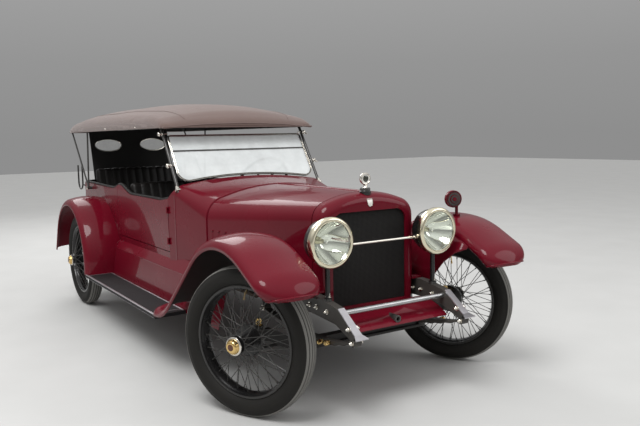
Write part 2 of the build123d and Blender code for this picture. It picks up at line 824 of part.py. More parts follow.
def cabin_space():
    """The hollow inside the body, open at the top and towards the cowl."""
    with BuildPart() as space:
        with BuildSketch(Plane.XY):
            with BuildLine():
                Polyline((back(door_front) + 9, -body_half + wall), (back(body_taper), -body_half + wall),
                         (back(body_tail - wall), -body_rear_half + wall),
                         (back(body_tail - wall), body_rear_half - wall),
                         (back(body_taper), body_half - wall),
                         (back(door_front) + 9, body_half - wall), close=True)
            make_face()
            fillet(vertices().group_by(Axis.X)[0], radius=tail_corner - wall)
        extrude(amount=2 * body_hump)
        with BuildSketch(Plane.XZ):
            with BuildLine():
                Polyline((back(door_front) + 9, rail_top + floor_thickness),
                         (back(kick_start), rail_top + floor_thickness),
                         (back(kick_end), kick_top + floor_thickness),
                         (back(3940), kick_top + floor_thickness),
                         (back(body_tail - wall), 880), (back(body_tail - wall - 15), 2 * body_hump),
                         (back(door_front) + 9, 2 * body_hump), close=True)
            make_face()
        extrude(amount=2 * body_half, both=True, mode=Mode.INTERSECT)
    return space.part


body_shell = body_solid() - cabin_space()
door_sill = rail_top + floor_thickness + sill_height


def door_region(margin):
    """The part of the left side that the door takes up."""
    with BuildPart() as region:
        block((back(door_rear) + margin, body_half - wall - 30, door_sill + margin),
              (back(door_front) - margin, body_half + 60, 2 * body_top))
    return region.part


hinge_y = body_half + 10
hinge_radius = 7
hinge_half = 14
hinge_places = (760, 985)
pin_half = hinge_half + 10
hinge_leaf = 12

with BuildPart() as door:
    add(body_shell)
    add(door_region(panel_gap), mode=Mode.INTERSECT)
    for height in hinge_places:
        with Locations((back(door_front) - panel_gap / 2, hinge_y, height)):
            Cylinder(hinge_radius, 2 * hinge_half)
        block((back(door_front) - panel_gap - hinge_leaf, body_half - 14, height - hinge_half),
              (back(door_front) - panel_gap / 2 - 2, hinge_y + 2, height + hinge_half))
        with Locations((back(door_front) - panel_gap / 2, hinge_y, height)):
            Cylinder(hinge_radius / 2 + seat_gap, 4 * hinge_half, mode=Mode.SUBTRACT)
export(door.part, "door_left")
export(mirror(door.part, about=Plane.XZ), "door_right")

seat_half = body_half - wall - panel_gap - 4
seat_base = 800
front_seat_place = (1960, 2560)
rear_seat_place = (3190, 3960)
panel = 22

with BuildPart() as tub:
    add(body_shell)
    add(door_region(0), mode=Mode.SUBTRACT)
    add(mirror(door_region(0), about=Plane.XZ), mode=Mode.SUBTRACT)
    block((back(front_seat_place[1]), -seat_half, rail_top + 1),
          (back(front_seat_place[0]), seat_half, seat_base))
    block((back(front_seat_place[1]), -seat_half, rail_top + 1),
          (back(front_seat_place[1]) + panel, seat_half, body_top))
    block((back(rear_seat_place[1]), -body_rear_half + 2 * wall, kick_top + 1),
          (back(rear_seat_place[0]), body_rear_half - 2 * wall, seat_base))
    block((back(door_front) - 1, -body_bottom_half + wall, rail_top),
          (back(hood_rear) - firewall, body_bottom_half - wall, rail_top + floor_thickness))
    add(cowl.part, mode=Mode.SUBTRACT)
export(largest(tub.part), "body_tub")

with BuildPart() as hinge_pins:
    for height in hinge_places:
        with Locations((back(door_front) - panel_gap / 2, hinge_y, height)):
            Cylinder(hinge_radius / 2, 2 * pin_half)
        for lift in (-1, 1):
            middle = height + lift * (hinge_half + pin_half) / 2
            reach = (pin_half - hinge_half) / 2 - seat_gap
            with Locations((back(door_front) - panel_gap / 2, hinge_y, middle)):
                Cylinder(hinge_radius, 2 * reach)
            block((back(door_front) - panel_gap / 2 + 2, body_half - 16, middle - reach),
                  (back(door_front) + hinge_leaf, hinge_y + 2, middle + reach))
    add(cowl.part, mode=Mode.SUBTRACT)
export(both_sides(hinge_pins.part), "door_hinge_pins")

# Seats
cushion_top = 945
back_lean = 60
cushion_round = 28


def seat(place, half, back_top):
    """A cushion and a leaning back, side by side, as two soft solids."""
    front, rear = place
    with BuildPart() as pads:
        block((back(rear - 190), -half, seat_base + seat_gap), (back(front), half, cushion_top))
        fillet(pads.edges().filter_by(GeomType.LINE), radius=cushion_round)
    with BuildPart() as squab:
        with BuildSketch(Plane.XZ):
            with BuildLine():
                Polyline((back(rear - 185), seat_base + seat_gap), (back(rear - 30), seat_base + seat_gap),
                         (back(rear - 25), back_top), (back(rear - 185 + back_lean + 10), back_top),
                         (back(rear - 185), cushion_top), close=True)
            make_face()
        extrude(amount=half, both=True)
        fillet(squab.edges().filter_by(Axis.Y), radius=cushion_round)
    return Compound(children=[pads.part, squab.part])


export(seat(front_seat_place, seat_half, 1140), "front_seat")
export(seat((rear_seat_place[0], rear_seat_place[1] + 30), body_rear_half - 2 * wall, 1215), "rear_seat")

# Dashboard, steering column and wheel
dash_place = 1420
with BuildPart() as dashboard:
    with BuildSketch(Plane.YZ.offset(back(dash_place))):
        with Locations((0, 1060)):
            Rectangle(2 * (body_half - wall) - 8, 170)
    extrude(amount=16)
    add(arch_body(cowl_sections, rail_top, inset=cowl_wall, stretch=20), mode=Mode.INTERSECT)
export(dashboard.part, "dashboard")

column_foot = (back(1090), 330, 690)
column_head = (back(1770), 330, 1120)
column_radius = 19
wheel_radius = 215
wheel_rim = 13
column_run = (Vector(*column_head) - Vector(*column_foot)).normalized()

with BuildPart() as column:
    rod(column_foot, column_head, column_radius)
    block((column_foot[0] - 45, column_foot[1] - 30, rail_top + floor_thickness),
          (column_foot[0] + 45, column_foot[1] + 30, column_foot[2] + 25))
    with Locations((back(dash_place) + 8, column_foot[1], 880)):
        Box(14, 30, 200)
    add(dashboard.part, mode=Mode.SUBTRACT)
    with BuildSketch(Plane(origin=Vector(*column_head) - column_run * 60, z_dir=column_run)) as socket:
        Circle(wheel_rim + seat_gap)
    extrude(socket.sketch, amount=70, mode=Mode.SUBTRACT)
export(column.part, "steering_column")

with BuildPart() as steering_wheel:
    with BuildSketch(Plane.XZ):
        with Locations((wheel_radius, 0)):
            Circle(wheel_rim)
    revolve(axis=Axis.Z)
    for angle in (45, 135, 225, 315):
        turn = radians(angle)
        rod((0, 0, -22), (wheel_radius * cos(turn), wheel_radius * sin(turn), 0), 8)
    with BuildSketch(Plane.XY.offset(-40)):
        Circle(34)
    extrude(amount=36)
    with BuildSketch(Plane.XY.offset(-100 + seat_gap)):
        Circle(wheel_rim)
    extrude(amount=70)
wheel_seat = Plane(origin=Vector(*column_head) + column_run * (40 + seat_gap), z_dir=column_run)
export(steering_wheel.part.moved(wheel_seat.location), "steering_wheel")

# Fenders: a crowned section carried along the side view of each wheel's arch
fender_inner = 565
fender_outer = 925
fender_middle = (fender_inner + fender_outer) / 2
fender_crown = 500
fender_shoulder = 55
board_top = 352
board_thickness = 24
board_front = 1020
board_rear = 2745
board_outer = 921
board_inner = 702
mat_ends = (1080, 2650)
mat_sides = (722, 905)
mat_thickness = 4
bracket_places = (1250, 2550)
lip_radius = 6
front_path = ((-456, 700), (-445, 756), (69, 1022), (870, board_top), (board_front + 4, board_top))
front_bends = (100, 558, 400)
rear_path = ((board_rear - 5, board_top), (board_rear - 5, 915), (3542, 915), (3770, 442))
rear_bends = (489, 489)


def fender_path(points, bends):
    """The line in side view that the fender's edges follow."""
    with BuildPart():
        with BuildLine(Plane.XZ.offset(-fender_middle)) as line:
            FilletPolyline(*[(back(d), z) for d, z in points], radius=bends)
    return line.line


def crowned_section(cut):
    """The fender's section outline, drawn in by a cut, for one side of a closed band."""
    half = (fender_outer - fender_inner) / 2 - cut
    shoulder, crown = fender_shoulder - cut, fender_crown - cut
    rise = sqrt((crown - shoulder) ** 2 - (half - shoulder) ** 2)
    top = crown - rise - cut
    side_top, meet, turn = arch_points(half, top, shoulder, crown)
    middle = (half - shoulder + shoulder * cos(turn / 2), side_top + shoulder * sin(turn / 2))
    return half, top, side_top, meet, middle


def fender(path):
    """A crowned sheet with a rolled outer edge."""
    start = path @ 0
    along = path % 0
    outer = crowned_section(0)
    inner = crowned_section(sheet)
    up = Vector(0, 1, 0).cross(along)
    up = up if up.Z > 0 or (abs(up.Z) < 0.01 and up.X > 0) else -up
    with BuildPart() as piece:
        with BuildSketch(Plane(origin=start, x_dir=(0, 1, 0), z_dir=Vector(0, 1, 0).cross(up))):
            with BuildLine():
                for half, top, side_top, meet, middle in (outer, inner):
                    ThreePointArc((-meet[0], meet[1]), (0, top), meet)
                    for side in (1, -1):
                        ThreePointArc((side * half, side_top), (side * middle[0], middle[1]),
                                      (side * meet[0], meet[1]))
                for side in (1, -1):
                    Line((side * outer[0], outer[2]), (side * inner[0], inner[2]))
            make_face()
            with Locations((outer[0] - lip_radius, 0)):
                Circle(lip_radius)
        sweep(path=path)
    return piece.part


# Splash aprons close the side from the hood and body down to the running boards
# columns: distance behind the front axle, then side and height of the top edge, crease and foot
apron_rows = (
    (505, 505, 640, 640, 555, board_inner - seat_gap, board_top - 20),
    (hood_rear, 597, 652, 664, 562, board_inner - seat_gap, board_top - 20),
    (2880, 597, 652, 664, 562, board_inner - seat_gap, board_top - 20),
)
sill_rows = (
    # distance behind the front axle, then side and height of the upper and lower edge
    (hood_front + panel_gap, 341, hood_bottom - 6, rail_outer, rail_top),
    (hood_rear - 1, 551, hood_bottom - 6, 596, 655),
)


def band(points, shift):
    """A closed outline as thick as the shift, on one side of an open line."""
    moved = [(y + shift[0], z + shift[1]) for y, z in points]
    return points + moved[::-1]


with BuildPart() as side_apron:
    for distance, *sides in apron_rows:
        with BuildSketch(Plane.YZ.offset(back(distance))):
            with BuildLine():
                Polyline(*band([tuple(sides[i:i + 2]) for i in (0, 2, 4)], (-sheet, -sheet / 2)), close=True)
            make_face()
    loft(ruled=True)
with BuildPart() as hood_sill:
    for distance, *sides in sill_rows:
        with BuildSketch(Plane.YZ.offset(back(distance))):
            with BuildLine():
                Polyline(*band([tuple(sides[i:i + 2]) for i in (0, 2)], (-sheet, 0)), close=True)
            make_face()
    loft(ruled=True)
left_aprons = largest(side_apron.part + hood_sill.part - body_shell - cowl.part - frame.part)
export(both_sides(left_aprons), "splash_aprons")

# Running boards
with BuildPart() as board:
    block((back(board_rear), board_inner, board_top - board_thickness),
          (back(board_front), board_outer, board_top))
    chamfer(board.edges().filter_by(Axis.X).sort_by(Axis.Y)[-2:], length=5)
    block((back(mat_ends[1]), mat_sides[0], board_top),
          (back(mat_ends[0]), mat_sides[1], board_top + mat_thickness))
    for distance in bracket_places:
        block((back(distance) - 20, rail_outer, board_top - board_thickness - 14),
              (back(distance) + 20, board_outer - 60, board_top - board_thickness))
        block((back(distance) - 20, rail_outer, board_top - board_thickness),
              (back(distance) + 20, rail_outer + 12, rail_top - 10))
export(both_sides(board.part), "running_boards")

# What lies inboard of the aprons, to trim the fenders by
with BuildPart() as inboard:
    for distance, *sides in apron_rows:
        with BuildSketch(Plane.YZ.offset(back(distance))):
            with BuildLine():
                top, crease, foot = [(sides[i] + seat_gap, sides[i + 1] + seat_gap) for i in (0, 2, 4)]
                Polyline(top, crease, foot, (foot[0], 0), (0, 0), (0, top[1]), close=True)
            make_face()
    loft(ruled=True)

skirt_rows = (
    # distance behind the front axle, share of the way down to the frame
    (-330, 0.08), (-270, 0.30), (-215, 0.58), (-165, 1), (-30, 1), (110, 1), (250, 1), (380, 1), (480, 1),
)
path_samples = 400
skirt_inset = 2
skirt_rise = 3


def height_on(path, x):
    """Height of a fender's path above a place along the car."""
    points = [path @ (i / path_samples) for i in range(path_samples + 1)]
    return min(points, key=lambda point: abs(point.X - x)).Z


front_line = fender_path(front_path, front_bends)
with BuildPart() as skirt:
    for distance, share in skirt_rows:
        run = max(0, (distance - hood_front) / (hood_rear - hood_front))
        low = Vector(rail_outer + 4 + run * (596 - rail_outer), rail_top - 12 + run * 35, 0)
        high = Vector(fender_inner + skirt_inset, height_on(front_line, back(distance)) + skirt_rise, 0)
        foot = high + (low - high) * share
        with BuildSketch(Plane.YZ.offset(back(distance))):
            with BuildLine():
                Polyline((high.X, high.Y), (foot.X, foot.Y), (foot.X + sheet, foot.Y),
                         (high.X + sheet, high.Y), close=True)
            make_face()
    loft(ruled=True)

with BuildPart() as front_fender:
    add(fender(front_line))
    add(skirt.part)
    add(inboard.part, mode=Mode.SUBTRACT)
    add(left_aprons, mode=Mode.SUBTRACT)
    add(board.part, mode=Mode.SUBTRACT)
export(both_sides(largest(front_fender.part)), "fenders_front")

with BuildPart() as rear_fender:
    add(fender(fender_path(rear_path, rear_bends)))
    add(inboard.part, mode=Mode.SUBTRACT)
    add(body_solid(), mode=Mode.SUBTRACT)
    add(left_aprons, mode=Mode.SUBTRACT)
    add(board.part, mode=Mode.SUBTRACT)
export(both_sides(largest(rear_fender.part)), "fenders_rear")

# Windshield: leaning posts, a frame in two parts and its glass
screen_foot = (1364, 1150)
screen_head = (1649, 1585)
screen_half = 566
screen_bar = 12
screen_depth = 14
screen_low = 34
screen_middle = 84
screen_top = 508
screen_divide = 345
screen_corner = 80
post_y = 590
post_radius = 11
knob_radius = 14
knob_places = (185, screen_top - 40)
glass_thickness = 6
lean = Vector(screen_foot[0] - screen_head[0], 0, screen_head[1] - screen_foot[1]).normalized()
screen = Plane(origin=(back(screen_foot[0]), 0, screen_foot[1]), x_dir=(0, 1, 0), z_dir=(lean.Z, 0, -lean.X))


def on_screen(y, v):
    """A point in the windshield's plane, by side and distance up the slope."""
    return screen.origin + Vector(0, y, 0) + lean * v


with BuildSketch(Plane.XY) as opening:
    with BuildLine():
        ThreePointArc((-screen_half, screen_low), (0, screen_middle), (screen_half, screen_low))
        Polyline((screen_half, screen_low), (screen_half, screen_top), (-screen_half, screen_top),
                 (-screen_half, screen_low))
    make_face()
    fillet(vertices().sort_by(Axis.Y)[:2], radius=screen_corner)

with BuildPart() as screen_frame:
    with BuildSketch(screen):
        add(opening.sketch)
        offset(opening.sketch, amount=-screen_bar, mode=Mode.SUBTRACT)
        with Locations((0, screen_divide)):
            Rectangle(2 * screen_half - screen_bar, screen_bar)
    extrude(amount=screen_depth / 2, both=True)
    for side in (1, -1):
        rod(on_screen(side * post_y, -40), on_screen(side * post_y, screen_top + 12), post_radius)
        for place in knob_places:
            rod(on_screen(side * (screen_half - 3), place), on_screen(side * (post_y + 22), place), 7)
            with Locations(on_screen(side * (post_y + 22), place)):
                Sphere(knob_radius)
    add(cowl.part, mode=Mode.SUBTRACT)
export(largest(screen_frame.part), "windshield_frame")

with BuildPart() as glass:
    with BuildSketch(screen):
        offset(opening.sketch, amount=-screen_bar - seat_gap)
        with Locations((0, screen_divide)):
            Rectangle(2 * screen_half, screen_bar + 2 * seat_gap, mode=Mode.SUBTRACT)
    extrude(amount=glass_thickness / 2, both=True)
    add(cowl.part, mode=Mode.SUBTRACT)
export(glass.part, "windshield_glass")

# Cloth top over its bows, open at the sides, with a rear curtain
# columns: distance behind the front axle, half width, top height, shoulder radius, crown radius
top_sections = (
    (1500, 630, 1645, 25, 6000), (1640, 636, 1712, 60, 3000), (1950, 638, 1768, 85, 2100),
    (2600, 640, 1795, 100, 1800), (3600, 640, 1795, 100, 1800), (3950, 638, 1762, 85, 2100),
    (4180, 630, 1702, 60, 3000), (wheelbase + rear_reach, 612, 1645, 25, 6000),
)
top_drop = 1575
cloth = 8
inner_sections = [(top_sections[0][0] + cloth,) + top_sections[0][1:], *top_sections[1:-1],
                  (top_sections[-1][0] - cloth,) + top_sections[-1][1:]]
top_inside = arch_body(inner_sections, top_drop - 60, inset=cloth)
with BuildPart() as canopy:
    add(arch_body(top_sections, top_drop))
    add(top_inside, mode=Mode.SUBTRACT)
export(canopy.part, "canopy")

curtain_half = 430
curtain_floor = 900
window_half = (142, 66)
window_y = 243
window_height = 1440
curtain_top = (4255, 1630)
curtain_foot = (4098, body_top + 10.5)
curtain_run = (curtain_foot[0] - curtain_top[0], 0, curtain_top[1] - curtain_foot[1])
curtain_slope = Vector(*curtain_run)
curtain_plane = Plane(origin=(back(curtain_foot[0]), 0, curtain_foot[1]), x_dir=(0, 1, 0),
                      z_dir=Vector(0, 1, 0).cross(curtain_slope))
with BuildPart() as curtain:
    with BuildSketch(curtain_plane):
        Rectangle(2 * curtain_half, curtain_slope.length, align=(Align.CENTER, Align.MIN))
        lift = (window_height - curtain_foot[1]) / curtain_slope.normalized().Z
        with Locations((window_y, lift), (-window_y, lift)):
            Ellipse(*window_half, mode=Mode.SUBTRACT)
    extrude(amount=cloth / 2, both=True)
    add(arch_body(inner_sections, curtain_floor, inset=cloth + seat_gap), mode=Mode.INTERSECT)
    add(body_shell, mode=Mode.SUBTRACT)
export(curtain.part, "rear_curtain")

# Bows and irons that carry the top
bow_radius = 11
iron_radius = 8
stub_radius = 5.5
iron_y = 612
post_head = 1649
pivot = (3655, 1035)
pivot_boss = 15
bow_foot = top_drop + 5
bow_rows = (
    # distance behind the front axle of each bow, index of its section in the table of the top
    (1640, 1), (2600, 3), (3600, 4), (4180, 6),
)
with BuildPart() as bows:
    for distance, row in bow_rows:
        half, top, shoulder, crown = [value - cloth - seat_gap - bow_radius for value in top_sections[row][1:]]
        side_top, meet, turn = arch_points(half, top, shoulder, crown)
        knee = (half - shoulder + shoulder * cos(turn / 2), side_top + shoulder * sin(turn / 2))
        with BuildLine(Plane.YZ.offset(back(distance))) as bow_line:
            Line((-half, bow_foot), (-half, side_top))
            ThreePointArc((-half, side_top), (-knee[0], knee[1]), (-meet[0], meet[1]))
            ThreePointArc((-meet[0], meet[1]), (0, top), meet)
            ThreePointArc(meet, knee, (half, side_top))
            Line((half, side_top), (half, bow_foot))
        with BuildSketch(Plane(origin=(back(distance), -half, bow_foot), z_dir=(0, 0, 1))) as bow_section:
            Circle(bow_radius)
        sweep(bow_section.sketch, path=bow_line.wire())
    for side in (1, -1):
        hub = (back(pivot[0]), side * iron_y, pivot[1])
        for distance in (2600, 3600, 4180):
            rod(hub, (back(distance), side * iron_y, bow_foot), iron_radius)
        rod((back(1640), side * iron_y, bow_foot), (back(2600), side * iron_y, bow_foot), iron_radius)
        rod((hub[0], side * (body_half - 70), hub[2]), (hub[0], side * (iron_y + 14), hub[2]), pivot_boss)
        rod((back(post_head), side * (post_y + post_radius + seat_gap), bow_foot),
            (back(post_head), side * iron_y, bow_foot), stub_radius)
    add(arch_body(inner_sections, top_drop - 900, inset=cloth + seat_gap), mode=Mode.INTERSECT)
    add(body_shell, mode=Mode.SUBTRACT)
export(bows.part, "top_bows")

# Cradles behind the body that hold the top when it is folded
rest_y = 560
rest_arms = (4075, 4235)
rest_top = 1240
rest_floor = 1075
with BuildPart() as rest:
    with BuildLine(Plane.XZ.offset(-rest_y)) as rest_line:
        Line((back(rest_arms[0]), rest_top), (back(rest_arms[0]), rest_floor))
        RadiusArc((back(rest_arms[0]), rest_floor), (back(rest_arms[1]), rest_floor),
                  (rest_arms[1] - rest_arms[0]) / 2, short_sagitta=True)
        Line((back(rest_arms[1]), rest_floor), (back(rest_arms[1]), rest_top))
    with BuildSketch(Plane(origin=(back(rest_arms[0]), rest_y, rest_top), z_dir=(0, 0, -1))) as rest_section:
        Circle(iron_radius)
    sweep(rest_section.sketch, path=rest_line.wire())
    rod((back(rest_arms[0] - 5), rest_y, rest_floor - 30),
        (back(rest_arms[0] - 75), rest_y - 70, rest_floor - 60), iron_radius)
    add(body_shell, mode=Mode.SUBTRACT)
export(both_sides(largest(rest.part)), "top_rests")

# Headlamps: drums with a rim, on posts from the horns and tied by a bar
lamp_place = -285
lamp_y = 376
lamp_height = 927
lamp_radius = 134
lamp_rim = 140
rim_depth = 42
lamp_wall = 5
lens_radius = 115
lens_thickness = 5
drum_back = 62
lamp_depth = 152
lamp_plane = Plane(origin=(back(lamp_place), lamp_y, lamp_height), x_dir=(0, 1, 0), z_dir=(1, 0, 0))

with BuildPart() as lamp:
    with BuildSketch(Plane.XZ):
        with BuildLine():
            Polyline((lens_radius, 0), (lamp_rim - 9, 0), (lamp_rim, -9), (lamp_rim, -rim_depth),
                     (lamp_radius - 6, -rim_depth), (lamp_radius - 10, -lamp_depth * 0.6))
            ThreePointArc((lamp_radius - 10, -lamp_depth * 0.6), (105, -130), (drum_back, -lamp_depth))
            Polyline((drum_back, -lamp_depth), (0, -lamp_depth), (0, -lamp_depth + lamp_wall),
                     (drum_back - 5, -lamp_depth + lamp_wall))
            ThreePointArc((drum_back - 5, -lamp_depth + lamp_wall), (98, -126),
                          (lamp_radius - 16, -lamp_depth * 0.6))
            Polyline((lamp_radius - 16, -lamp_depth * 0.6), (lens_radius - 4, -lamp_depth * 0.4),
                     (lens_radius - 4, -12), (lens_radius, -12), (lens_radius, 0))
        make_face()
    revolve(axis=Axis.Z)
lamp_left = lamp.part.moved(lamp_plane.location)
export(both_sides(lamp_left), "headlamps")

with BuildPart() as lens:
    with BuildSketch(Plane.XY.offset(-12 + seat_gap)):
        Circle(lens_radius - seat_gap)
    extrude(amount=lens_thickness)
export(both_sides(lens.part.moved(lamp_plane.location)), "headlamp_lenses")

post_place = -225
post_foot = 585
lamp_post_radius = 14
with BuildPart() as lamp_post:
    rod((back(post_place), lamp_y, post_foot), (back(post_place), lamp_y, lamp_height - 100), lamp_post_radius)
    with Locations((back(post_place), lamp_y, rail_top - 8)):
        Cylinder(24, 16)
    add(frame.part, mode=Mode.SUBTRACT)
    add(lamp_left, mode=Mode.SUBTRACT)
export(both_sides(largest(lamp_post.part)), "lamp_posts")

tie_bar_radius = 7
tie_bar_height = 899
tie_bar_end = 15
with BuildPart() as tie_bar:
    ends = [(back(post_place), side * (lamp_y - 90), tie_bar_height) for side in (-1, 1)]
    rod(*ends, tie_bar_radius)
    for x, y, z in ends:
        rod((x, y, z), (x, y * 0.8, z), tie_bar_end)
    add(lamp_left, mode=Mode.SUBTRACT)
    add(mirror(lamp_left, about=Plane.XZ), mode=Mode.SUBTRACT)
export(largest(tie_bar.part), "lamp_tie_bar")

# Horn with a ringed face on a stem whose base lies on the crown of the left front fender
horn_place = -100
horn_y = 655
horn_height = 1088
horn_turn = radians(20)
horn_depth = 20
horn_radius = 54
horn_stem_y = 700
horn_rings = ((42, 8), (26, 15), (11, 21))
horn_motor = (30, 46)
horn_stem_radius = 10
horn_arm_radius = 12
horn_base_radius = 22
horn_base_depth = 12
horn_base_lift = 1
seat_x = back(horn_place) - 20
heights = [height_on(front_line, seat_x + shift) for shift in (-horn_base_radius, 0, horn_base_radius)]
seat_slope = (heights[2] - heights[0]) / (2 * horn_base_radius)
seat_side = horn_stem_y - fender_middle
seat_rise = crowned_section(0)[1] - fender_crown + sqrt(fender_crown ** 2 - seat_side ** 2)
along_normal = Vector(-seat_slope, 0, 1).normalized()
seat_normal = (along_normal + Vector(0, seat_side / fender_crown, 0)).normalized()
horn_seat = Vector(seat_x, horn_stem_y, heights[1]) + along_normal * seat_rise + seat_normal * horn_base_lift
with BuildPart() as horn:
    facing = Vector(cos(horn_turn), -sin(horn_turn), 0)
    centre = Vector(back(horn_place), horn_y, horn_height)
    rod(tuple(centre), tuple(centre + facing * horn_depth), horn_radius)
    for reach, depth in horn_rings:
        rod(tuple(centre), tuple(centre + facing * (horn_depth + depth)), reach)
    rod(tuple(centre - facing * horn_motor[1]), tuple(centre), horn_motor[0])
    stem_top = (horn_seat.X, horn_stem_y, horn_height)
    rod((horn_seat.X, horn_y, horn_height), stem_top, horn_arm_radius)
    rod(tuple(horn_seat + seat_normal * horn_base_depth / 2), stem_top, horn_stem_radius)
    rod(tuple(horn_seat), tuple(horn_seat + seat_normal * horn_base_depth), horn_base_radius)
export(largest(horn.part), "fender_horn")

# Tail lamp on the left rail's end
tail_lamp_height = 640
with BuildPart() as tail_lamp:
    with BuildSketch(Plane(origin=(back(3985), rail_outer - rail_width / 2, tail_lamp_height), x_dir=(0, 1, 0),
                           z_dir=(-1, 0, 0))) as drum:
        Circle(42)
    extrude(drum.sketch, amount=60)
    rod((back(3950), rail_outer - rail_width / 2, 540),
        (back(4000), rail_outer - rail_width / 2, tail_lamp_height - 20), 9)
    add(frame.part, mode=Mode.SUBTRACT)
export(largest(tail_lamp.part), "tail_lamp")
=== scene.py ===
import math

import bmesh
import bpy
from mathutils import Matrix, Vector


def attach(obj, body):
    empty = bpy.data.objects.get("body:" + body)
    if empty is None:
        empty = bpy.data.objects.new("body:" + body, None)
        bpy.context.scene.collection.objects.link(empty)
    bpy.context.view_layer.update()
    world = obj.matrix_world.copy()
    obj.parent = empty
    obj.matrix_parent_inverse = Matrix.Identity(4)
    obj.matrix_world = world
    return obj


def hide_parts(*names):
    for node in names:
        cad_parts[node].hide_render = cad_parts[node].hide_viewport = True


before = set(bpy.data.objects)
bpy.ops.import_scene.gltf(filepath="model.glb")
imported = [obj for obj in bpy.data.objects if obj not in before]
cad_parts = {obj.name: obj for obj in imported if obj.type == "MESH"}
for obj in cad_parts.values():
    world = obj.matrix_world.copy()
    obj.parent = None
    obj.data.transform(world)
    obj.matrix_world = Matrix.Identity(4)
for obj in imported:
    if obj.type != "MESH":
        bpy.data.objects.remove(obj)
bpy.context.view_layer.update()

# Sizes shared with the part's source, in metres and degrees
FRONT = 1.87
WHEELBASE = 3.23
HALF_TRACK = 0.785
KINGPIN_Y = 0.685
KINGPIN_TO_WHEEL = 0.1
STEER = 26.5
TYRE_R = 0.412
RIM_R = 0.296

# Names for sides, wheels and directions; the left side has y above zero
SIDES = ((1, "left"), (-1, "right"))
CORNERS = [(f"{end}_{label}", side, end == "front") for end in ("front", "rear") for side, label in SIDES]
AHEAD, BEHIND, UP = (1, 0, 0), (-1, 0, 0), (0, 0, 1)


def back(distance):
    """X of a place this far behind the front axle, in millimetres."""
    return FRONT - distance / 1000


# Materials; the pitch is that of a wave texture's bands at scale 1, in metres

BAND_PITCH = 0.314


def opaque(color):
    """A colour with full alpha; a node's output stays as it is."""
    return color if isinstance(color, bpy.types.NodeSocket) else (*color, 1)


class Shading:
    """A procedural material; a node's input takes a value or another node's output."""

    def __init__(self, name, stretch=(1, 1, 1)):
        self.material = bpy.data.materials.new(name)
        self.material.use_nodes = True
        self.tree = self.material.node_tree
        coords = self.node("ShaderNodeTexCoord").outputs["Object"]
        self.place = self.node("ShaderNodeMapping", {"Vector": coords, "Scale": stretch}).outputs["Vector"]

    def fill(self, node, inputs):
        """Set or link a node's inputs."""
        for key, value in inputs.items():
            if isinstance(value, bpy.types.NodeSocket):
                self.tree.links.new(value, node.inputs[key])
            else:
                node.inputs[key].default_value = value

    def node(self, kind, inputs=None, **settings):
        """A new node."""
        made = self.tree.nodes.new(kind)
        for key, value in settings.items():
            setattr(made, key, value)
        self.fill(made, inputs or {})
        return made

    def noise(self, scale, detail, rough=0.5):
        """Drifting values."""
        inputs = {"Vector": self.place, "Scale": scale, "Detail": detail, "Roughness": rough}
        return self.node("ShaderNodeTexNoise", inputs).outputs["Fac"]

    def crossed(self, operation, bands, **warp):
        """Two sets of straight bands, each an axis and a pitch in metres, joined by an operation."""
        waves = []
        for axis, pitch in bands:
            inputs = {"Vector": self.place, "Scale": BAND_PITCH / pitch, **warp}
            wave = self.node("ShaderNodeTexWave", inputs, wave_type="BANDS", bands_direction=axis)
            waves.append(wave.outputs["Fac"])
        return self.node("ShaderNodeMath", dict(enumerate(waves)), operation=operation).outputs["Value"]

    def blend(self, factor, first, second, **settings):
        """One colour drifting into another."""
        inputs = {"Factor": factor, "A": opaque(first), "B": opaque(second)}
        return self.node("ShaderNodeMix", inputs, data_type="RGBA", **settings).outputs["Result"]

    def ramp(self, value, *stops):
        """A value turned to colour between two stops, each a position and a colour."""
        made = self.node("ShaderNodeValToRGB", {"Fac": value})
        for element, (position, color) in zip(made.color_ramp.elements, stops):
            element.position = position
            element.color = opaque(color)
        return made.outputs["Color"]

    def spread(self, value, low, high):
        """A value stretched to run from low to high."""
        inputs = {"Value": value, "To Min": low, "To Max": high}
        return self.node("ShaderNodeMapRange", inputs).outputs["Result"]

    def finish(self, inputs, height=None, strength=0, distance=0.001):
        """The material, its shader set and its surface raised by a height."""
        if strength:
            relief = {"Height": height, "Strength": strength, "Distance": distance}
            inputs = {**inputs, "Normal": self.node("ShaderNodeBump", relief).outputs["Normal"]}
        self.fill(self.tree.nodes["Principled BSDF"], inputs)
        return self.material


def surface(name, color, second, rough, bump=0.05, scale=8, fine=220, metallic=0, coat=0, spec=0.5,
            coat_rough=0.04, edge=None):
    """A finish with drifting colour and roughness, fine grain and, where asked, worn edges."""
    shading = Shading(name)
    broad = shading.noise(scale, 6, 0.6)
    base = shading.blend(broad, color, second)
    if edge:
        pointed = shading.node("ShaderNodeNewGeometry").outputs["Pointiness"]
        base = shading.blend(shading.ramp(pointed, (0.535, (0, 0, 0)), (0.6, (1, 1, 1))), base, edge)
    inputs = {"Base Color": base, "Roughness": shading.spread(broad, *rough), "Metallic": metallic,
              "Coat Weight": coat, "Coat Roughness": coat_rough, "Specular IOR Level": spec}
    return shading.finish(inputs, shading.noise(fine, 3), bump)


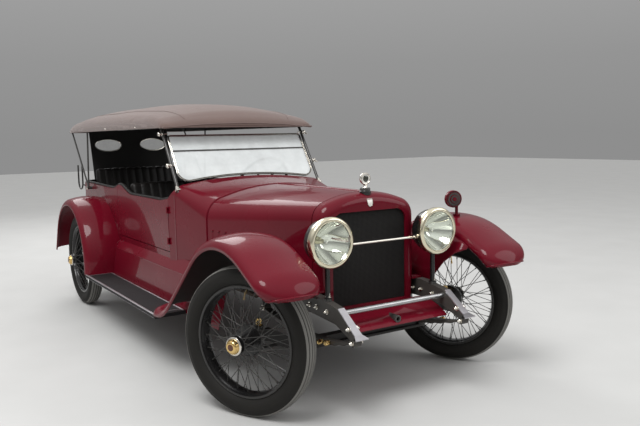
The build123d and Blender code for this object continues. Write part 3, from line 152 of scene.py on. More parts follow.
# Name, colour, second colour, range of roughness, grain's height, drift's scale, grain's scale
MAROON = surface("maroon_paint", (0.15, 0.004, 0.014), (0.105, 0.003, 0.01), (0.22, 0.34), 0.02, 3, 60,
                 coat=0.4, spec=0.05, coat_rough=0.03)
BLACK = surface("black_enamel", (0.006, 0.006, 0.007), (0.014, 0.013, 0.012), (0.2, 0.36), 0.03, 9,
                coat=0.3, spec=0.3, edge=(0.05, 0.048, 0.045))
CHASSIS = surface("chassis_black", (0.006, 0.006, 0.006), (0.02, 0.017, 0.015), (0.3, 0.55), 0.08,
                  spec=0.3, edge=(0.06, 0.055, 0.05))
NICKEL = surface("nickel_plate", (0.78, 0.75, 0.69), (0.68, 0.64, 0.57), (0.08, 0.2), 0.02, 14, metallic=1)
BRASS = surface("polished_brass", (0.8, 0.58, 0.25), (0.66, 0.44, 0.17), (0.12, 0.26), 0.02, 20, metallic=1)
STEEL = surface("polished_steel", (0.5, 0.5, 0.51), (0.36, 0.36, 0.36), (0.22, 0.4), 0.06, 18, metallic=1)
HORN_PLATE = surface("horn_plate_steel", (0.62, 0.61, 0.64), (0.46, 0.45, 0.47), (0.26, 0.42), 0.05, 22,
                     metallic=0.9)
RUBBER = surface("tyre_rubber", (0.007, 0.007, 0.006), (0.018, 0.016, 0.014), (0.62, 0.82), 0.15, 7, 350,
                 spec=0.25)
# The tread ribs' grey is painted light on the black tyre, making them stand out from the black grooves
LIT_RIB_TREAD = surface("tyre_tread_painted_light", (0.15, 0.146, 0.136), (0.21, 0.204, 0.19), (0.7, 0.9), 0.2, 9, 300, spec=0.2)
LEATHER = surface("black_leather", (0.007, 0.006, 0.006), (0.014, 0.012, 0.011), (0.34, 0.5), 0.3, 6, 420,
                  spec=0.22)
CARPET = surface("floor_mat", (0.01, 0.01, 0.01), (0.024, 0.022, 0.02), (0.8, 0.95), 0.5, 8, 500)
TAIL_RED = surface("tail_lens_red", (0.3, 0.008, 0.008), (0.22, 0.006, 0.006), (0.08, 0.16), 0, coat=0.6)
CAP_ENAMEL = surface("cap_enamel", (0.1, 0.035, 0.015), (0.07, 0.025, 0.012), (0.2, 0.35), 0.02)
SHIELD_ENAMEL = surface("shield_enamel", (0.78, 0.76, 0.72), (0.66, 0.63, 0.58), (0.15, 0.3), 0.02, coat=0.5)
CAST = surface("cast_grey", (0.16, 0.16, 0.155), (0.09, 0.085, 0.08), (0.5, 0.75), 0.3, 8, 300)
RUSTED = surface("exhaust_steel", (0.16, 0.11, 0.08), (0.09, 0.07, 0.06), (0.5, 0.8), 0.2, metallic=0.6)
MAT = surface("board_rubber", (0.008, 0.007, 0.008), (0.02, 0.017, 0.018), (0.55, 0.75), 0.2, 8, 300,
              spec=0.3)
REFLECTOR = surface("reflector_silver", (0.9, 0.9, 0.87), (0.84, 0.84, 0.8), (0.03, 0.09), 0, metallic=1)
RIM_METAL = surface("lamp_rim_metal", (0.86, 0.8, 0.62), (0.76, 0.7, 0.52), (0.1, 0.22), 0.02, 16,
                    metallic=1)
WHITE_DIAL = surface("dial_white", (0.75, 0.74, 0.7), (0.66, 0.64, 0.58), (0.3, 0.45), 0.02)
DIAL_GLASS = surface("gauge_glass", (0.02, 0.022, 0.014), (0.035, 0.036, 0.024), (0.05, 0.1), 0, coat=0.6)


def wood(name, light, dark, stretch):
    """Varnished wood with rings stretched along one axis."""
    shading = Shading(name, stretch)
    rings = shading.noise(1.4, 8, 0.65)
    grain = shading.ramp(rings, (0.35, dark), (0.65, light))
    return shading.finish({"Base Color": grain, "Roughness": 0.3, "Coat Weight": 0.5}, rings, 0.1)


def weave(name, color, second, sheen):
    """Woven cloth: two crossed waves, with broad fading and painted shade between the threads."""
    shading = Shading(name)
    # The second number weighs the painted shade that darkens the colour between the threads
    pitch, thread_shade_weight = 0.0016, 0.35
    threads = shading.crossed("MULTIPLY", (("X", pitch), ("Y", pitch)), Distortion=0.6, Detail=2)
    faded = shading.blend(shading.noise(2.6, 7, 0.62), color, second)
    thread_shaded = shading.blend(thread_shade_weight, faded, threads, blend_type="MULTIPLY")
    inputs = {"Base Color": thread_shaded, "Roughness": 0.85, "Sheen Weight": sheen}
    return shading.finish(inputs, threads, 0.35, 0.0008)


def glass(name, tint, alpha):
    """A clear pane, slightly dusty."""
    shading = Shading(name, (3, 3, 3))
    dusty = shading.spread(shading.noise(3, 6), alpha * 0.7, alpha * 1.3)
    inputs = {"Alpha": dusty, "Base Color": opaque(tint), "Roughness": 0.02, "Specular IOR Level": 0.6}
    return shading.finish(inputs)


def clear_glass(name):
    """Clear lens glass with faint drifting thickness."""
    shading = Shading(name, (6, 6, 6))
    wave = shading.noise(2.5, 2)
    tint = shading.blend(wave, (0.98, 1, 0.97), (0.9, 0.94, 0.88))
    inputs = {"Base Color": tint, "Transmission Weight": 1, "Roughness": 0.01, "IOR": 1.45}
    return shading.finish(inputs, wave, 0.04, 0.002)


def honeycomb(name):
    """Radiator core: fine cells, their dark openings painted shade between bright fins."""
    shading = Shading(name)
    peak = shading.crossed("MAXIMUM", (("Y", 0.009), ("Z", 0.007)))
    # The near-black of the cells is painted shade inside the core's openings
    cells_in_painted_shade = shading.ramp(peak, (0.55, (0.002, 0.002, 0.002)), (0.95, (0.026, 0.025, 0.024)))
    inputs = {"Base Color": cells_in_painted_shade, "Roughness": 0.6, "Specular IOR Level": 0.2}
    return shading.finish(inputs, peak, 0.9, 0.004)


def pale_floor(name):
    """Studio floor with a faint drift."""
    shading = Shading(name)
    drift = shading.blend(shading.noise(2, 8), (0.5, 0.5, 0.49), (0.57, 0.57, 0.56))
    return shading.finish({"Base Color": drift, "Roughness": 0.8})


WOOD = wood("dark_wood", (0.16, 0.065, 0.028), (0.055, 0.02, 0.01), (30, 2, 30))
TOP_CLOTH = weave("top_cloth", (0.215, 0.14, 0.12), (0.15, 0.098, 0.086), 0.3)
LINING = weave("black_cloth", (0.01, 0.009, 0.009), (0.018, 0.016, 0.014), 0.08)
SCREEN_GLASS = glass("screen_glass", (0.88, 0.92, 0.92), 0.52)
PANE_GLASS = glass("pane_glass", (0.5, 0.55, 0.45), 0.25)
LENS_GLASS = clear_glass("lens_glass")
CORE = honeycomb("radiator_honeycomb")

# Finishes of the solids from the part's source
FINISHES = {
    MAROON: ["front_apron", "hood_left", "hood_right", "radiator_shell", "cowl", "door_left", "door_right",
             "body_tub", "door_hinge_pins", "splash_aprons", "fenders_front", "fenders_rear", "fender_horn"],
    CHASSIS: ["frame_rails", "cross_members", "front_axle", "rear_axle", "springs_front", "springs_rear",
              "knuckle_left", "knuckle_right", "tie_rod", "fuel_tank"],
    BLACK: ["crank_bush", "steering_column", "lamp_posts", "top_rests", "tail_lamp"]
           + [f"wire_wheel_{corner}" for corner, _, _ in CORNERS],
    NICKEL: ["radiator_cap", "lamp_tie_bar", "headlamps"],
    BRASS: [f"hub_cap_{corner}" for corner, _, _ in CORNERS],
    STEEL: ["spreader_bar"],
    HORN_PLATE: ["horn_plates"],
    RUBBER: [f"tyre_{corner}" for corner, _, _ in CORNERS],
    LEATHER: ["front_seat", "rear_seat"],
    WOOD: ["dashboard", "steering_wheel"],
    MAT: ["running_boards"],
    CAST: ["engine_block"],
    RUSTED: ["exhaust"],
    TOP_CLOTH: ["canopy"],
    LINING: ["rear_curtain"],
    LENS_GLASS: ["headlamp_lenses"],
    CORE: ["radiator_core"],
}
for finish, names in FINISHES.items():
    for name in names:
        for material_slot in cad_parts[name].material_slots:
            material_slot.material = finish


# Mesh tools

def piece(name, bm, finish, body="chassis", replaces=(), flat_over=38):
    """Turn a bmesh into a piece that rides on a body; edges over an angle in degrees stay sharp."""
    bmesh.ops.remove_doubles(bm, verts=bm.verts, dist=1e-6)
    bmesh.ops.recalc_face_normals(bm, faces=bm.faces)
    data = bpy.data.meshes.new(name)
    bm.to_mesh(data)
    bm.free()
    for item in finish if isinstance(finish, list) else [finish]:
        data.materials.append(item)
    for face in data.polygons:
        face.use_smooth = True
    data.set_sharp_from_angle(angle=math.radians(flat_over))
    made = bpy.data.objects.new(name, data)
    bpy.context.collection.objects.link(made)
    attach(made, body)
    if replaces:
        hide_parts(*replaces)
    return made


def thicken(made, thickness, offset=0, inner=0):
    """Give a sheet its thickness; its second face may have another of its finishes."""
    layer = made.modifiers.new("thickness", "SOLIDIFY")
    layer.thickness = thickness
    layer.offset = offset
    layer.material_offset = inner


def place_at(origin, z, x):
    """A matrix with its Z along z and its X near x."""
    z = Vector(z).normalized()
    x = Vector(x)
    x = (x - z * x.dot(z)).normalized()
    return Matrix.Translation(origin) @ Matrix((x, z.cross(x), z)).transposed().to_4x4()


def facing(out, distance, y, z):
    """A place with its Z axis outward and its X axis up."""
    return place_at((back(distance), y, z), out, UP)


def upward(distance, y, z):
    """A place with its Z axis up and its X axis ahead."""
    return place_at((back(distance), y, z), UP, AHEAD)


def polar(radius, degrees, height=0):
    """A point round the Z axis."""
    a = math.radians(degrees)
    return Vector((radius * math.cos(a), radius * math.sin(a), height))


def circle(count, radius=1, height=0):
    """Points evenly round the Z axis."""
    return [polar(radius, 360 * i / count, height) for i in range(count)]


def evenly_from(start, end, count):
    """Numbers from start to end in a count of equal steps."""
    return [start + (end - start) * i / count for i in range(count + 1)]


def skin(bm, rows, index=0, keep=None):
    """Faces between rows of vertices, all or those that pass a test."""
    for a, b in zip(rows, rows[1:]):
        for k in range(len(a) - 1):
            four = [a[k], a[k + 1], b[k + 1], b[k]]
            if keep is None or keep(four):
                bm.faces.new(four).material_index = index


def skin_rings(bm, rings, index=0, closed=False):
    """Faces round rings of vertices; an open line of rings gets end caps."""
    loops = [ring + ring[:1] for ring in rings]
    if closed:
        skin(bm, loops + loops[:1], index)
        return
    skin(bm, loops, index)
    for cap in (rings[0][::-1], rings[-1]):
        bm.faces.new(cap).material_index = index


def drop_loose(bm):
    """Delete vertices without a face."""
    bmesh.ops.delete(bm, geom=[v for v in bm.verts if not v.link_faces], context="VERTS")


def lathe(bm, profile, place, steps, index=0, closed=False):
    """Turn (radius, height) points round the Z axis of a place."""
    rings = []
    for radius, height in profile:
        ring = circle(steps, radius, height) if radius > 0 else [Vector((0, 0, height))]
        rings.append([bm.verts.new(place @ p) for p in ring])
    for low, high in zip(rings, rings[1:] + rings[:1] if closed else rings[1:]):
        for i in range(steps):
            j = (i + 1) % steps
            four = (low[i % len(low)], low[j % len(low)], high[j % len(high)], high[i % len(high)])
            corners = list(dict.fromkeys(four))
            if len(corners) > 2:
                bm.faces.new(corners).material_index = index


def headings(points, closed):
    """The direction of a line at each of its points."""
    last = len(points) - 1
    if closed:
        ends = [(points[(i + 1) % (last + 1)], points[i - 1]) for i in range(last + 1)]
    else:
        ends = [(points[min(i + 1, last)], points[max(i - 1, 0)]) for i in range(last + 1)]
    return [(after - before).normalized() for after, before in ends]


def tube(bm, points, radius, sides, index=0, closed=False, place=Matrix()):
    """A round bar along a line of points; the radius may change from point to point."""
    points = [place @ Vector(p) for p in points]
    radii = radius if isinstance(radius, list) else [radius] * len(points)
    rings = []
    side = None
    for point, along, reach in zip(points, headings(points, closed), radii):
        side = side or along.orthogonal().normalized()
        side = (side - along * side.dot(along)).normalized()
        other = along.cross(side)
        rings.append([bm.verts.new(point + side * p.x + other * p.y) for p in circle(sides, reach)])
    skin_rings(bm, rings, index, closed)


def sweep(bm, path, section, index=0, up=UP, closed=False):
    """Carry a closed section of (side, up) points along a line."""
    path = [Vector(p) for p in path]
    rings = []
    for point, along in zip(path, headings(path, closed)):
        side = Vector(up).cross(along).normalized()
        lift = along.cross(side)
        rings.append([bm.verts.new(point + side * s + lift * u) for s, u in section])
    skin_rings(bm, rings, index, closed)


def ball(bm, centre, radius, steps, index=0, squash=(1, 1, 1)):
    """A small ball."""
    made = bmesh.ops.create_uvsphere(bm, u_segments=steps, v_segments=steps // 2, radius=radius)
    for vert in made["verts"]:
        vert.co = Vector(centre) + vert.co * Vector(squash)
    for face in {f for v in made["verts"] for f in v.link_faces}:
        face.material_index = index


def brick(bm, corner, opposite, bevel, index=0, place=Matrix()):
    """A box with softened edges between two of its corners."""
    verts = bmesh.ops.create_cube(bm, size=1)["verts"]
    spans = [sorted(pair) for pair in zip(corner, opposite)]
    for vert in verts:
        vert.co = Vector(low + (c + 0.5) * (high - low) for c, (low, high) in zip(vert.co, spans))
    faces = {f for v in verts for f in v.link_faces}
    edges = {e for f in faces for e in f.edges}
    bevelled = bmesh.ops.bevel(bm, geom=list(edges), offset=bevel, segments=2, affect="EDGES", profile=0.6)
    faces = set(bevelled["faces"]) | {f for f in faces if f.is_valid}
    for face in faces:
        face.material_index = index
    for vert in {v for f in faces for v in f.verts}:
        vert.co = place @ vert.co


def rounded_line(points, radii, steps):
    """A line of points with its inner corners rounded to arcs."""
    points = [Vector(p) for p in points]
    line = [points[0]]
    for before, corner, after, radius in zip(points, points[1:], points[2:], radii[1:]):
        a, b = (before - corner).normalized(), (after - corner).normalized()
        half = a.angle(b) / 2
        start, end = corner + a * radius / math.tan(half), corner + b * radius / math.tan(half)
        centre = corner + (a + b).normalized() * (radius / math.sin(half))
        u, v = start - centre, end - centre
        turn = u.angle(v)
        for t in evenly_from(0, 1, steps):
            line.append(centre + (u * math.sin((1 - t) * turn) + v * math.sin(t * turn)) / math.sin(turn))
    line.append(points[-1])
    return line


def evenly(points, count):
    """The same line as a count of equal steps, and its length."""
    reach = [0]
    for a, b in zip(points, points[1:]):
        reach.append(reach[-1] + (b - a).length)
    made = []
    i = 0
    for place in evenly_from(0, reach[-1], count):
        while i < len(points) - 2 and reach[i + 1] < place:
            i += 1
        share = (place - reach[i]) / max(reach[i + 1] - reach[i], 1e-9)
        made.append(points[i].lerp(points[i + 1], min(max(share, 0), 1)))
    return made, reach[-1]


def arch(half, shoulder, crown):
    """Rise of a crowned section with round shoulders, and the lengths of its half roof and one shoulder."""
    rise = math.sqrt((crown - shoulder) ** 2 - (half - shoulder) ** 2)
    turn = math.atan2(rise, half - shoulder)
    return rise, crown * (math.pi / 2 - turn), shoulder * turn


def on_arch(half, shoulder, crown, run, lift=0):
    """Side and height over the shoulder's foot, at a run from the middle of a crowned section."""
    rise, roof, bend = arch(half, shoulder, crown)
    if run < roof:
        a = math.pi / 2 - run / crown
        y, z = crown * math.cos(a), crown * math.sin(a) - rise
    else:
        a = max(0, (roof + bend - run) / shoulder)
        y, z = half - shoulder + shoulder * math.cos(a), shoulder * math.sin(a) - max(0, run - roof - bend)
    return y + lift * math.cos(a), z + lift * math.sin(a)


# Wheels; profiles are (radius, height outward from the wheel's middle plane)

# Hub radius, height at the hub, height at the rim, spokes, lean in degrees
SPOKE_ROWS = ((0.05, 0.101, 0.01, 24, 38), (0.078, -0.008, -0.012, 36, 30))
SPOKE_HEAD_R, NIPPLE = 0.2835, 0.016
HALF_RIM = [(0.281, 0), (0.282, 0.02), (0.287, 0.03), (0.2925, 0.0375), (0.294, 0.0435), (0.3, 0.0455),
            (0.307, 0.044), (0.3095, 0.04), (0.3085, 0.0384), (0.2962, 0.0384), (0.296, 0)]
HUB = [(0.0205, 0.108), (0, 0.108), (0, 0.1215), (0.034, 0.1215), (0.036, 0.118), (0.036, 0.106),
       (0.054, 0.1045), (0.0562, 0.1015), (0.054, 0.098), (0.037, 0.096), (0.034, 0.06), (0.035, 0.012),
       (0.04, 0), (0.083, -0.004), (0.0865, -0.008), (0.0865, -0.03)]
FRONT_HUB_END = [(0.082, -0.0335), (0.04, -0.0338), (0.036, -0.0378), (0.0205, -0.0378)]
BRAKE_DRUM = [(0.09, -0.0335), (0.16, -0.0355), (0.1645, -0.04), (0.165, -0.08), (0.1632, -0.0878),
              (0.1592, -0.0878), (0.159, -0.042), (0.04, -0.0415), (0.036, -0.0435), (0.0205, -0.0435)]
CAP_FLANGE = [(0, 0.1222), (0.047, 0.1222), (0.0498, 0.124), (0.05, 0.1275), (0.048, 0.1295),
              (0.044, 0.13), (0.0415, 0.1315)]
CAP_DOME = [(0.0415, 0.1315), (0.04, 0.133), (0.039, 0.14), (0.0375, 0.1425), (0.035, 0.1432),
            (0.0335, 0.148), (0.029, 0.1528), (0.02, 0.1548), (0.018, 0.1544)]
CAP_EYE = [(0.018, 0.1544), (0.0165, 0.155), (0.008, 0.1558), (0, 0.156)]


def wheel_place(side, front):
    """The middle of a wheel, Z outward; the front wheels are steered."""
    if not front:
        return place_at((FRONT - WHEELBASE, side * HALF_TRACK, TYRE_R), (0, side, 0), UP)
    outward = polar(side, STEER + 90)
    return place_at(Vector((FRONT, side * KINGPIN_Y, TYRE_R)) + outward * KINGPIN_TO_WHEEL, outward, UP)


def tyre_profile():
    """The outer wall from its bead out, and the ribbed tread across."""
    wall = [(RIM_R + 0.0005, 0.0375), (RIM_R + 0.014, 0.0385), (RIM_R + 0.017, 0.0425)]
    for i in range(1, 9):
        bulge = polar(1, 12.2 * i - 52)
        wall.append((RIM_R + 0.06 + 0.052 * bulge.y, 0.0145 + 0.047 * bulge.x))
    scuff_line = (RIM_R + 0.071, 0.0612)
    wall.insert(8, scuff_line)
    edge, ribs, groove, depth, corner = 0.046, 5, 0.0055, 0.0022, 0.0008
    rib = (2 * edge - (ribs - 1) * groove) / ribs
    tread = []
    for number in range(ribs):
        for offset, lift in ((0, 0), (corner, depth), (rib - corner, depth), (rib, 0)):
            y = edge - number * (rib + groove) - offset
            tread.append((TYRE_R - 0.0024 - 0.011 * (y / edge) ** 2 + lift, y))
    return wall, tread


def tyre(corner, place):
    """Black walls and grooves; grey ribs, their grey painted light on the tread."""
    outer, tread = tyre_profile()
    inner = [(r, -h) for r, h in reversed(outer)]
    bm = bmesh.new()
    lathe(bm, inner[-1:] + outer + tread[:1], place, 112)
    for start in range(0, len(tread), 4):
        lathe(bm, tread[start:start + 4], place, 112, index=1)
        lathe(bm, tread[start + 3:start + 5], place, 112)
    lathe(bm, tread[-1:] + inner, place, 112)
    piece(f"ribbed_tyre_{corner}", bm, [RUBBER, LIT_RIB_TREAD], f"wheel_{corner}",
          (f"tyre_{corner}",), 30)


def wire_wheel(corner, place, front):
    """Rim, hub and rows of crossing spokes with their nipples."""
    bm = bmesh.new()
    lathe(bm, HALF_RIM + [(r, -h) for r, h in HALF_RIM[-2:0:-1]], place, 96, closed=True)
    lathe(bm, HUB + (FRONT_HUB_END if front else BRAKE_DRUM), place, 56)
    for hub_r, hub_height, rim_height, count, lean in SPOKE_ROWS:
        for number in range(count):
            turn = 360 * number / count
            foot = polar(hub_r, turn + (lean if number % 2 else -lean), hub_height)
            head = polar(SPOKE_HEAD_R, turn, rim_height)
            nipple = head + (foot - head).normalized() * NIPPLE
            tube(bm, [foot, nipple], 0.0021, 6, place=place)
            tube(bm, [nipple, head], 0.0036, 6, place=place)
    piece(f"wire_spokes_{corner}", bm, BLACK, f"wheel_{corner}", (f"wire_wheel_{corner}",))


def hub_cap(corner, place):
    """A nickel flange, a brass dome with a row of beads, and an enamel eye."""
    bm = bmesh.new()
    for index, profile in ((1, CAP_FLANGE), (0, CAP_DOME), (2, CAP_EYE)):
        lathe(bm, profile, place, 56, index)
    for spot in circle(12, 0.0385, 0.137):
        ball(bm, place @ spot, 0.003, 8)
    piece(f"hub_dome_{corner}", bm, [BRASS, NICKEL, CAP_ENAMEL], f"wheel_{corner}",
          (f"hub_cap_{corner}",))


def valve(corner, place):
    """A valve stem leaning out of the rim, with its cap."""
    bm = bmesh.new()
    stem = [(0.283, 0, 0.004), (0.262, 0, 0.014), (0.238, 0, 0.02)]
    tube(bm, stem, [0.0052, 0.0046, 0.0042], 10, place=place)
    tube(bm, [(0.24, 0, 0.0195), (0.226, 0, 0.0225)], 0.0062, 8, place=place)
    piece(f"valve_stem_{corner}", bm, BRASS, f"wheel_{corner}")


for corner, side, front in CORNERS:
    place = wheel_place(side, front)
    tyre(corner, place)
    wire_wheel(corner, place, front)
    hub_cap(corner, place)
    valve(corner, place)

# Headlamps; profiles are (radius, height forward from the rim's face)
DOOR_RIM = [(0.1156, -0.0115), (0.1156, -0.0035), (0.118, -0.0008), (0.1235, 0), (0.129, -0.0009),
            (0.1345, -0.0038), (0.138, -0.0085), (0.1396, -0.0145), (0.14, -0.022), (0.1398, -0.034),
            (0.1385, -0.04), (0.135, -0.0418), (0.129, -0.042)]
DRUM = [(0.129, -0.042), (0.1278, -0.046), (0.1275, -0.06), (0.1235, -0.09), (0.115, -0.112),
        (0.1, -0.131), (0.079, -0.1435), (0.052, -0.1495), (0.026, -0.1516), (0, -0.152)]
LENS = [(0, -0.0062), (0.034, -0.0065), (0.068, -0.0076), (0.097, -0.0096), (0.115, -0.0115),
        (0.115, -0.0068), (0.097, -0.0046), (0.068, -0.0022), (0.034, -0.0009), (0, -0.0005)]
BOWL_R, BOWL_BACK, BOWL_DEPTH, BOWL_STEPS = 0.1145, -0.1165, 0.104, 12
bowl = [(BOWL_R * math.sqrt(i / BOWL_STEPS), BOWL_BACK + BOWL_DEPTH * i / BOWL_STEPS)
        for i in range(BOWL_STEPS, -1, -1)]
bm = bmesh.new()
lens_bm = bmesh.new()
for side, _ in SIDES:
    place = facing(AHEAD, -285, side * 0.376, 0.927)
    lathe(bm, DOOR_RIM, place, 72)
    lathe(bm, DRUM, place, 64, index=1)
    lathe(bm, DOOR_RIM[:1] + bowl, place, 56, index=2)
    tube(bm, [(0, 0, BOWL_BACK), (0, 0, -0.086)], [0.013, 0.011], 14, place=place)
    ball(bm, place @ Vector((0, 0, -0.07)), 0.015, 14, index=2)
    latch_turn = Matrix.Rotation(math.radians(-38), 4, "Z")
    brick(bm, (0.128, -0.01, -0.04), (0.139, 0.01, -0.024), 0.002, place=place @ latch_turn)
    lathe(lens_bm, LENS, place, 56)
piece("lamp_drums", bm, [RIM_METAL, BLACK, REFLECTOR], replaces=("headlamps",))
piece("lamp_glasses", lens_bm, LENS_GLASS, replaces=("headlamp_lenses",))

# Radiator cap with its round gauge
HEX_R, HEX_FOOT, HEX_HEAD, HEX_TOP = 0.0305, 1.176, 1.188, 1.193
upright, dial = upward(-66, 0, 0), facing(AHEAD, -66, 0, 1.245)
bm = bmesh.new()
lathe(bm, [(0.031, 1.15), (0.034, 1.166), (0.034, 1.172), (0.03, 1.175), (0.029, 1.177)], upright, 48,
      index=1)
lathe(bm, [(HEX_R, HEX_FOOT), (HEX_R, HEX_HEAD), (HEX_R * 0.86, HEX_TOP), (0, HEX_TOP)], upright, 6, index=1)
lathe(bm, [(0.016, 1.192), (0.012, 1.197), (0.0095, 1.206), (0.012, 1.214)], upright, 24)
lathe(bm, [(0, -0.011), (0.028, -0.011), (0.034, -0.008), (0.036, -0.002), (0.036, 0.004), (0.034, 0.009),
           (0.031, 0.0112), (0.028, 0.0105), (0.0265, 0.0088)], dial, 48)
lathe(bm, [(0.0265, 0.0088), (0.0195, 0.0075)], dial, 48, index=2)
lathe(bm, [(0.0195, 0.0075), (0.015, 0.0092), (0.008, 0.0101), (0, 0.0104)], dial, 48, index=3)
lathe(bm, [(0.028, -0.0113), (0, -0.0113)], dial, 48, index=2)
piece("radiator_gauge", bm, [NICKEL, BLACK, WHITE_DIAL, DIAL_GLASS], replaces=("radiator_cap",),
      flat_over=30)

# Blank shield on the front of the radiator shell, bent with its rounded edge
SHELL_FRONT, SHELL_ROUND_Z, SHELL_ROUND = back(-112), 1.098, 0.06
SHIELD_ROWS = ((1.086, 0.001), (1.09, 0.008), (1.095, 0.013), (1.102, 0.0165), (1.11, 0.018),
               (1.118, 0.0185), (1.125, 0.019), (1.13, 0.018))


def shell_face(z, lift):
    """X of the shell's front face at a height, with its rounded upper edge."""
    over = max(0, z - SHELL_ROUND_Z)
    return SHELL_FRONT - SHELL_ROUND + math.sqrt(SHELL_ROUND ** 2 - over ** 2) + lift


bm = bmesh.new()
skin(bm, [[bm.verts.new((shell_face(z, 0.0035), half * k / 3, z)) for k in range(-3, 4)]
          for z, half in SHIELD_ROWS], index=1)
outline = list(SHIELD_ROWS) + [(z, -half) for z, half in SHIELD_ROWS[::-1]]
tube(bm, [(shell_face(z, 0.003), half, z) for z, half in outline], 0.0022, 8, closed=True)
piece("radiator_shield", bm, [NICKEL, SHIELD_ENAMEL])

# Cloth top, in millimetres: distance, half width, top height, shoulder radius, crown radius
TOP_ROWS = (
    (1500, 630, 1600, 12, 6000), (1508, 630.5, 1618, 18, 5600), (1530, 632, 1640, 26, 5000),
    (1575, 634, 1672, 40, 4000), (1640, 636, 1708, 60, 3000), (1950, 638, 1768, 85, 2100),
    (2600, 640, 1795, 100, 1800), (3600, 640, 1795, 100, 1800), (3950, 638, 1762, 85, 2100),
    (4180, 630, 1702, 60, 3000), (4245, 619, 1662, 40, 4500), (4270, 614, 1640, 26, 5500),
    (4280, 612, 1616, 14, 6000),
)
BOW_PLACES = (1500, 1640, 2600, 3600, 4180, 4280)
DROP, SAG, EASE, RIPPLE_RUN = 1575, 5.5, 6, 47
# The cloth's thickness and its ripple's height are in metres, the rippled hem is a share of half the width
CLOTH, RIPPLE, HEM = 0.003, 0.0013, 0.06


def top_row(distance):
    """Half width, top, shoulder and crown of the cloth top, its height eased through the rows."""
    last = len(TOP_ROWS) - 1
    i = next(i for i in range(last) if distance <= TOP_ROWS[i + 1][0])
    before, a, b, after = TOP_ROWS[max(i - 1, 0)], TOP_ROWS[i], TOP_ROWS[i + 1], TOP_ROWS[min(i + 2, last)]
    width = b[0] - a[0]
    t = (distance - a[0]) / width
    half, straight, shoulder, crown = (a[k] + (b[k] - a[k]) * t for k in range(1, 5))
    slope_a = (b[2] - before[2]) / max(b[0] - before[0], 1) * width
    slope_b = (after[2] - a[2]) / max(after[0] - a[0], 1) * width
    eased = ((2 * t ** 3 - 3 * t ** 2 + 1) * a[2] + (t ** 3 - 2 * t ** 2 + t) * slope_a
             + (3 * t ** 2 - 2 * t ** 3) * b[2] + (t ** 3 - t ** 2) * slope_b)
    return half, min(max(eased, straight), straight + EASE), shoulder, crown


def top_point(distance, share, lift=0):
    """A point on the cloth: share runs from -1 at the left drop to 1 at the right drop; lift is in mm."""
    half, top, shoulder, crown = top_row(distance)
    rise, roof, bend = arch(half, shoulder, crown)
    side_top = top - crown + rise
    run = abs(share) * (roof + bend + side_top - DROP)
    sag = 0
    for a, b in zip(BOW_PLACES, BOW_PLACES[1:]):
        if a < distance < b and run < roof + bend * 0.6:
            sag = SAG * math.sin(math.pi * (distance - a) / (b - a)) ** 2 * min(1, (b - a) / 600)
    y, z = on_arch(half, shoulder, crown, run, lift - sag)
    return Vector((back(distance), (y if share < 0 else -y) / 1000, (side_top + z) / 1000))


def has_height(four):
    """Whether a face between the cloth's end and its foot has any height."""
    return max(four[0].co.z - four[3].co.z, four[1].co.z - four[2].co.z) >= 1e-4


along = evenly_from(BOW_PLACES[0], BOW_PLACES[-1], 92)
across = evenly_from(-1, 1, 88)
bm = bmesh.new()
columns = []
for share in across:
    slack = RIPPLE * max(0, abs(share) - 1 + HEM) / HEM
    column = []
    for distance in along:
        point = top_point(distance, share)
        ripple = math.copysign(slack * math.sin(distance / RIPPLE_RUN), point.y)
        column.append(bm.verts.new(point + Vector((0, ripple, 0))))
    columns.append(column)
skin(bm, columns)
for row in ([c[0] for c in columns], [c[-1] for c in columns]):
    foot = [bm.verts.new((v.co.x, v.co.y, DROP / 1000)) for v in row]
    skin(bm, [row, foot], keep=has_height)
top = piece("cloth_top", bm, [TOP_CLOTH, LINING], replaces=("canopy",), flat_over=60)
thicken(top, CLOTH, offset=-1, inner=1)

# Binding along the cloth's edges and seams
bm = bmesh.new()
for share, lift, raised, radius, sides in ((1, 0, 0.004, 0.0045, 8), (0.66, 1, 0, 0.0028, 6)):
    for side, _ in SIDES:
        line = [top_point(d, side * share, lift) + Vector((0, 0, raised)) for d in along[::2]]
        tube(bm, line, radius, sides)
for distance, half in ((1502, 0.628), (4278, 0.61)):
    tube(bm, [top_point(distance, share) for share in across], 0.004, 8)
    tube(bm, [(back(distance), y, DROP / 1000 + 0.003) for y in (-half, -0.3, 0, 0.3, half)], 0.0045, 8)
piece("top_binding", bm, TOP_CLOTH)

# Rear curtain, its X across the car and its Y up the slope, with two oval windows
foot, head = Vector((back(4098), 0, 1.0755)), Vector((back(4256), 0, 1.634))
fall = (head - foot).length
slope = (head - foot).normalized()
curtain_place = place_at(foot, (slope.z, 0, -slope.x), (0, 1, 0))
CURTAIN_WIDTH, CURTAIN_WAVE, WINDOW_HALF = 0.86, -0.004, (0.142, 0.066)
HOLE, SNAP_FROM, SNAP_TO = 0.97, 0.93, 1.14
window_v = (1.44 - foot.z) / slope.z
WINDOWS = ((0.243, window_v), (-0.243, window_v))


def window_reach(u, v, window):
    """Distance from a window's middle, 1 on its edge."""
    return math.hypot((u - window[0]) / WINDOW_HALF[0], (v - window[1]) / WINDOW_HALF[1])


def clear_of_windows(four):
    """Whether the middle of four vertices lies outside the windows."""
    u, v = (sum(spots[vert][k] for vert in four) / 4 for k in (0, 1))
    return all(window_reach(u, v, window) >= HOLE for window in WINDOWS)


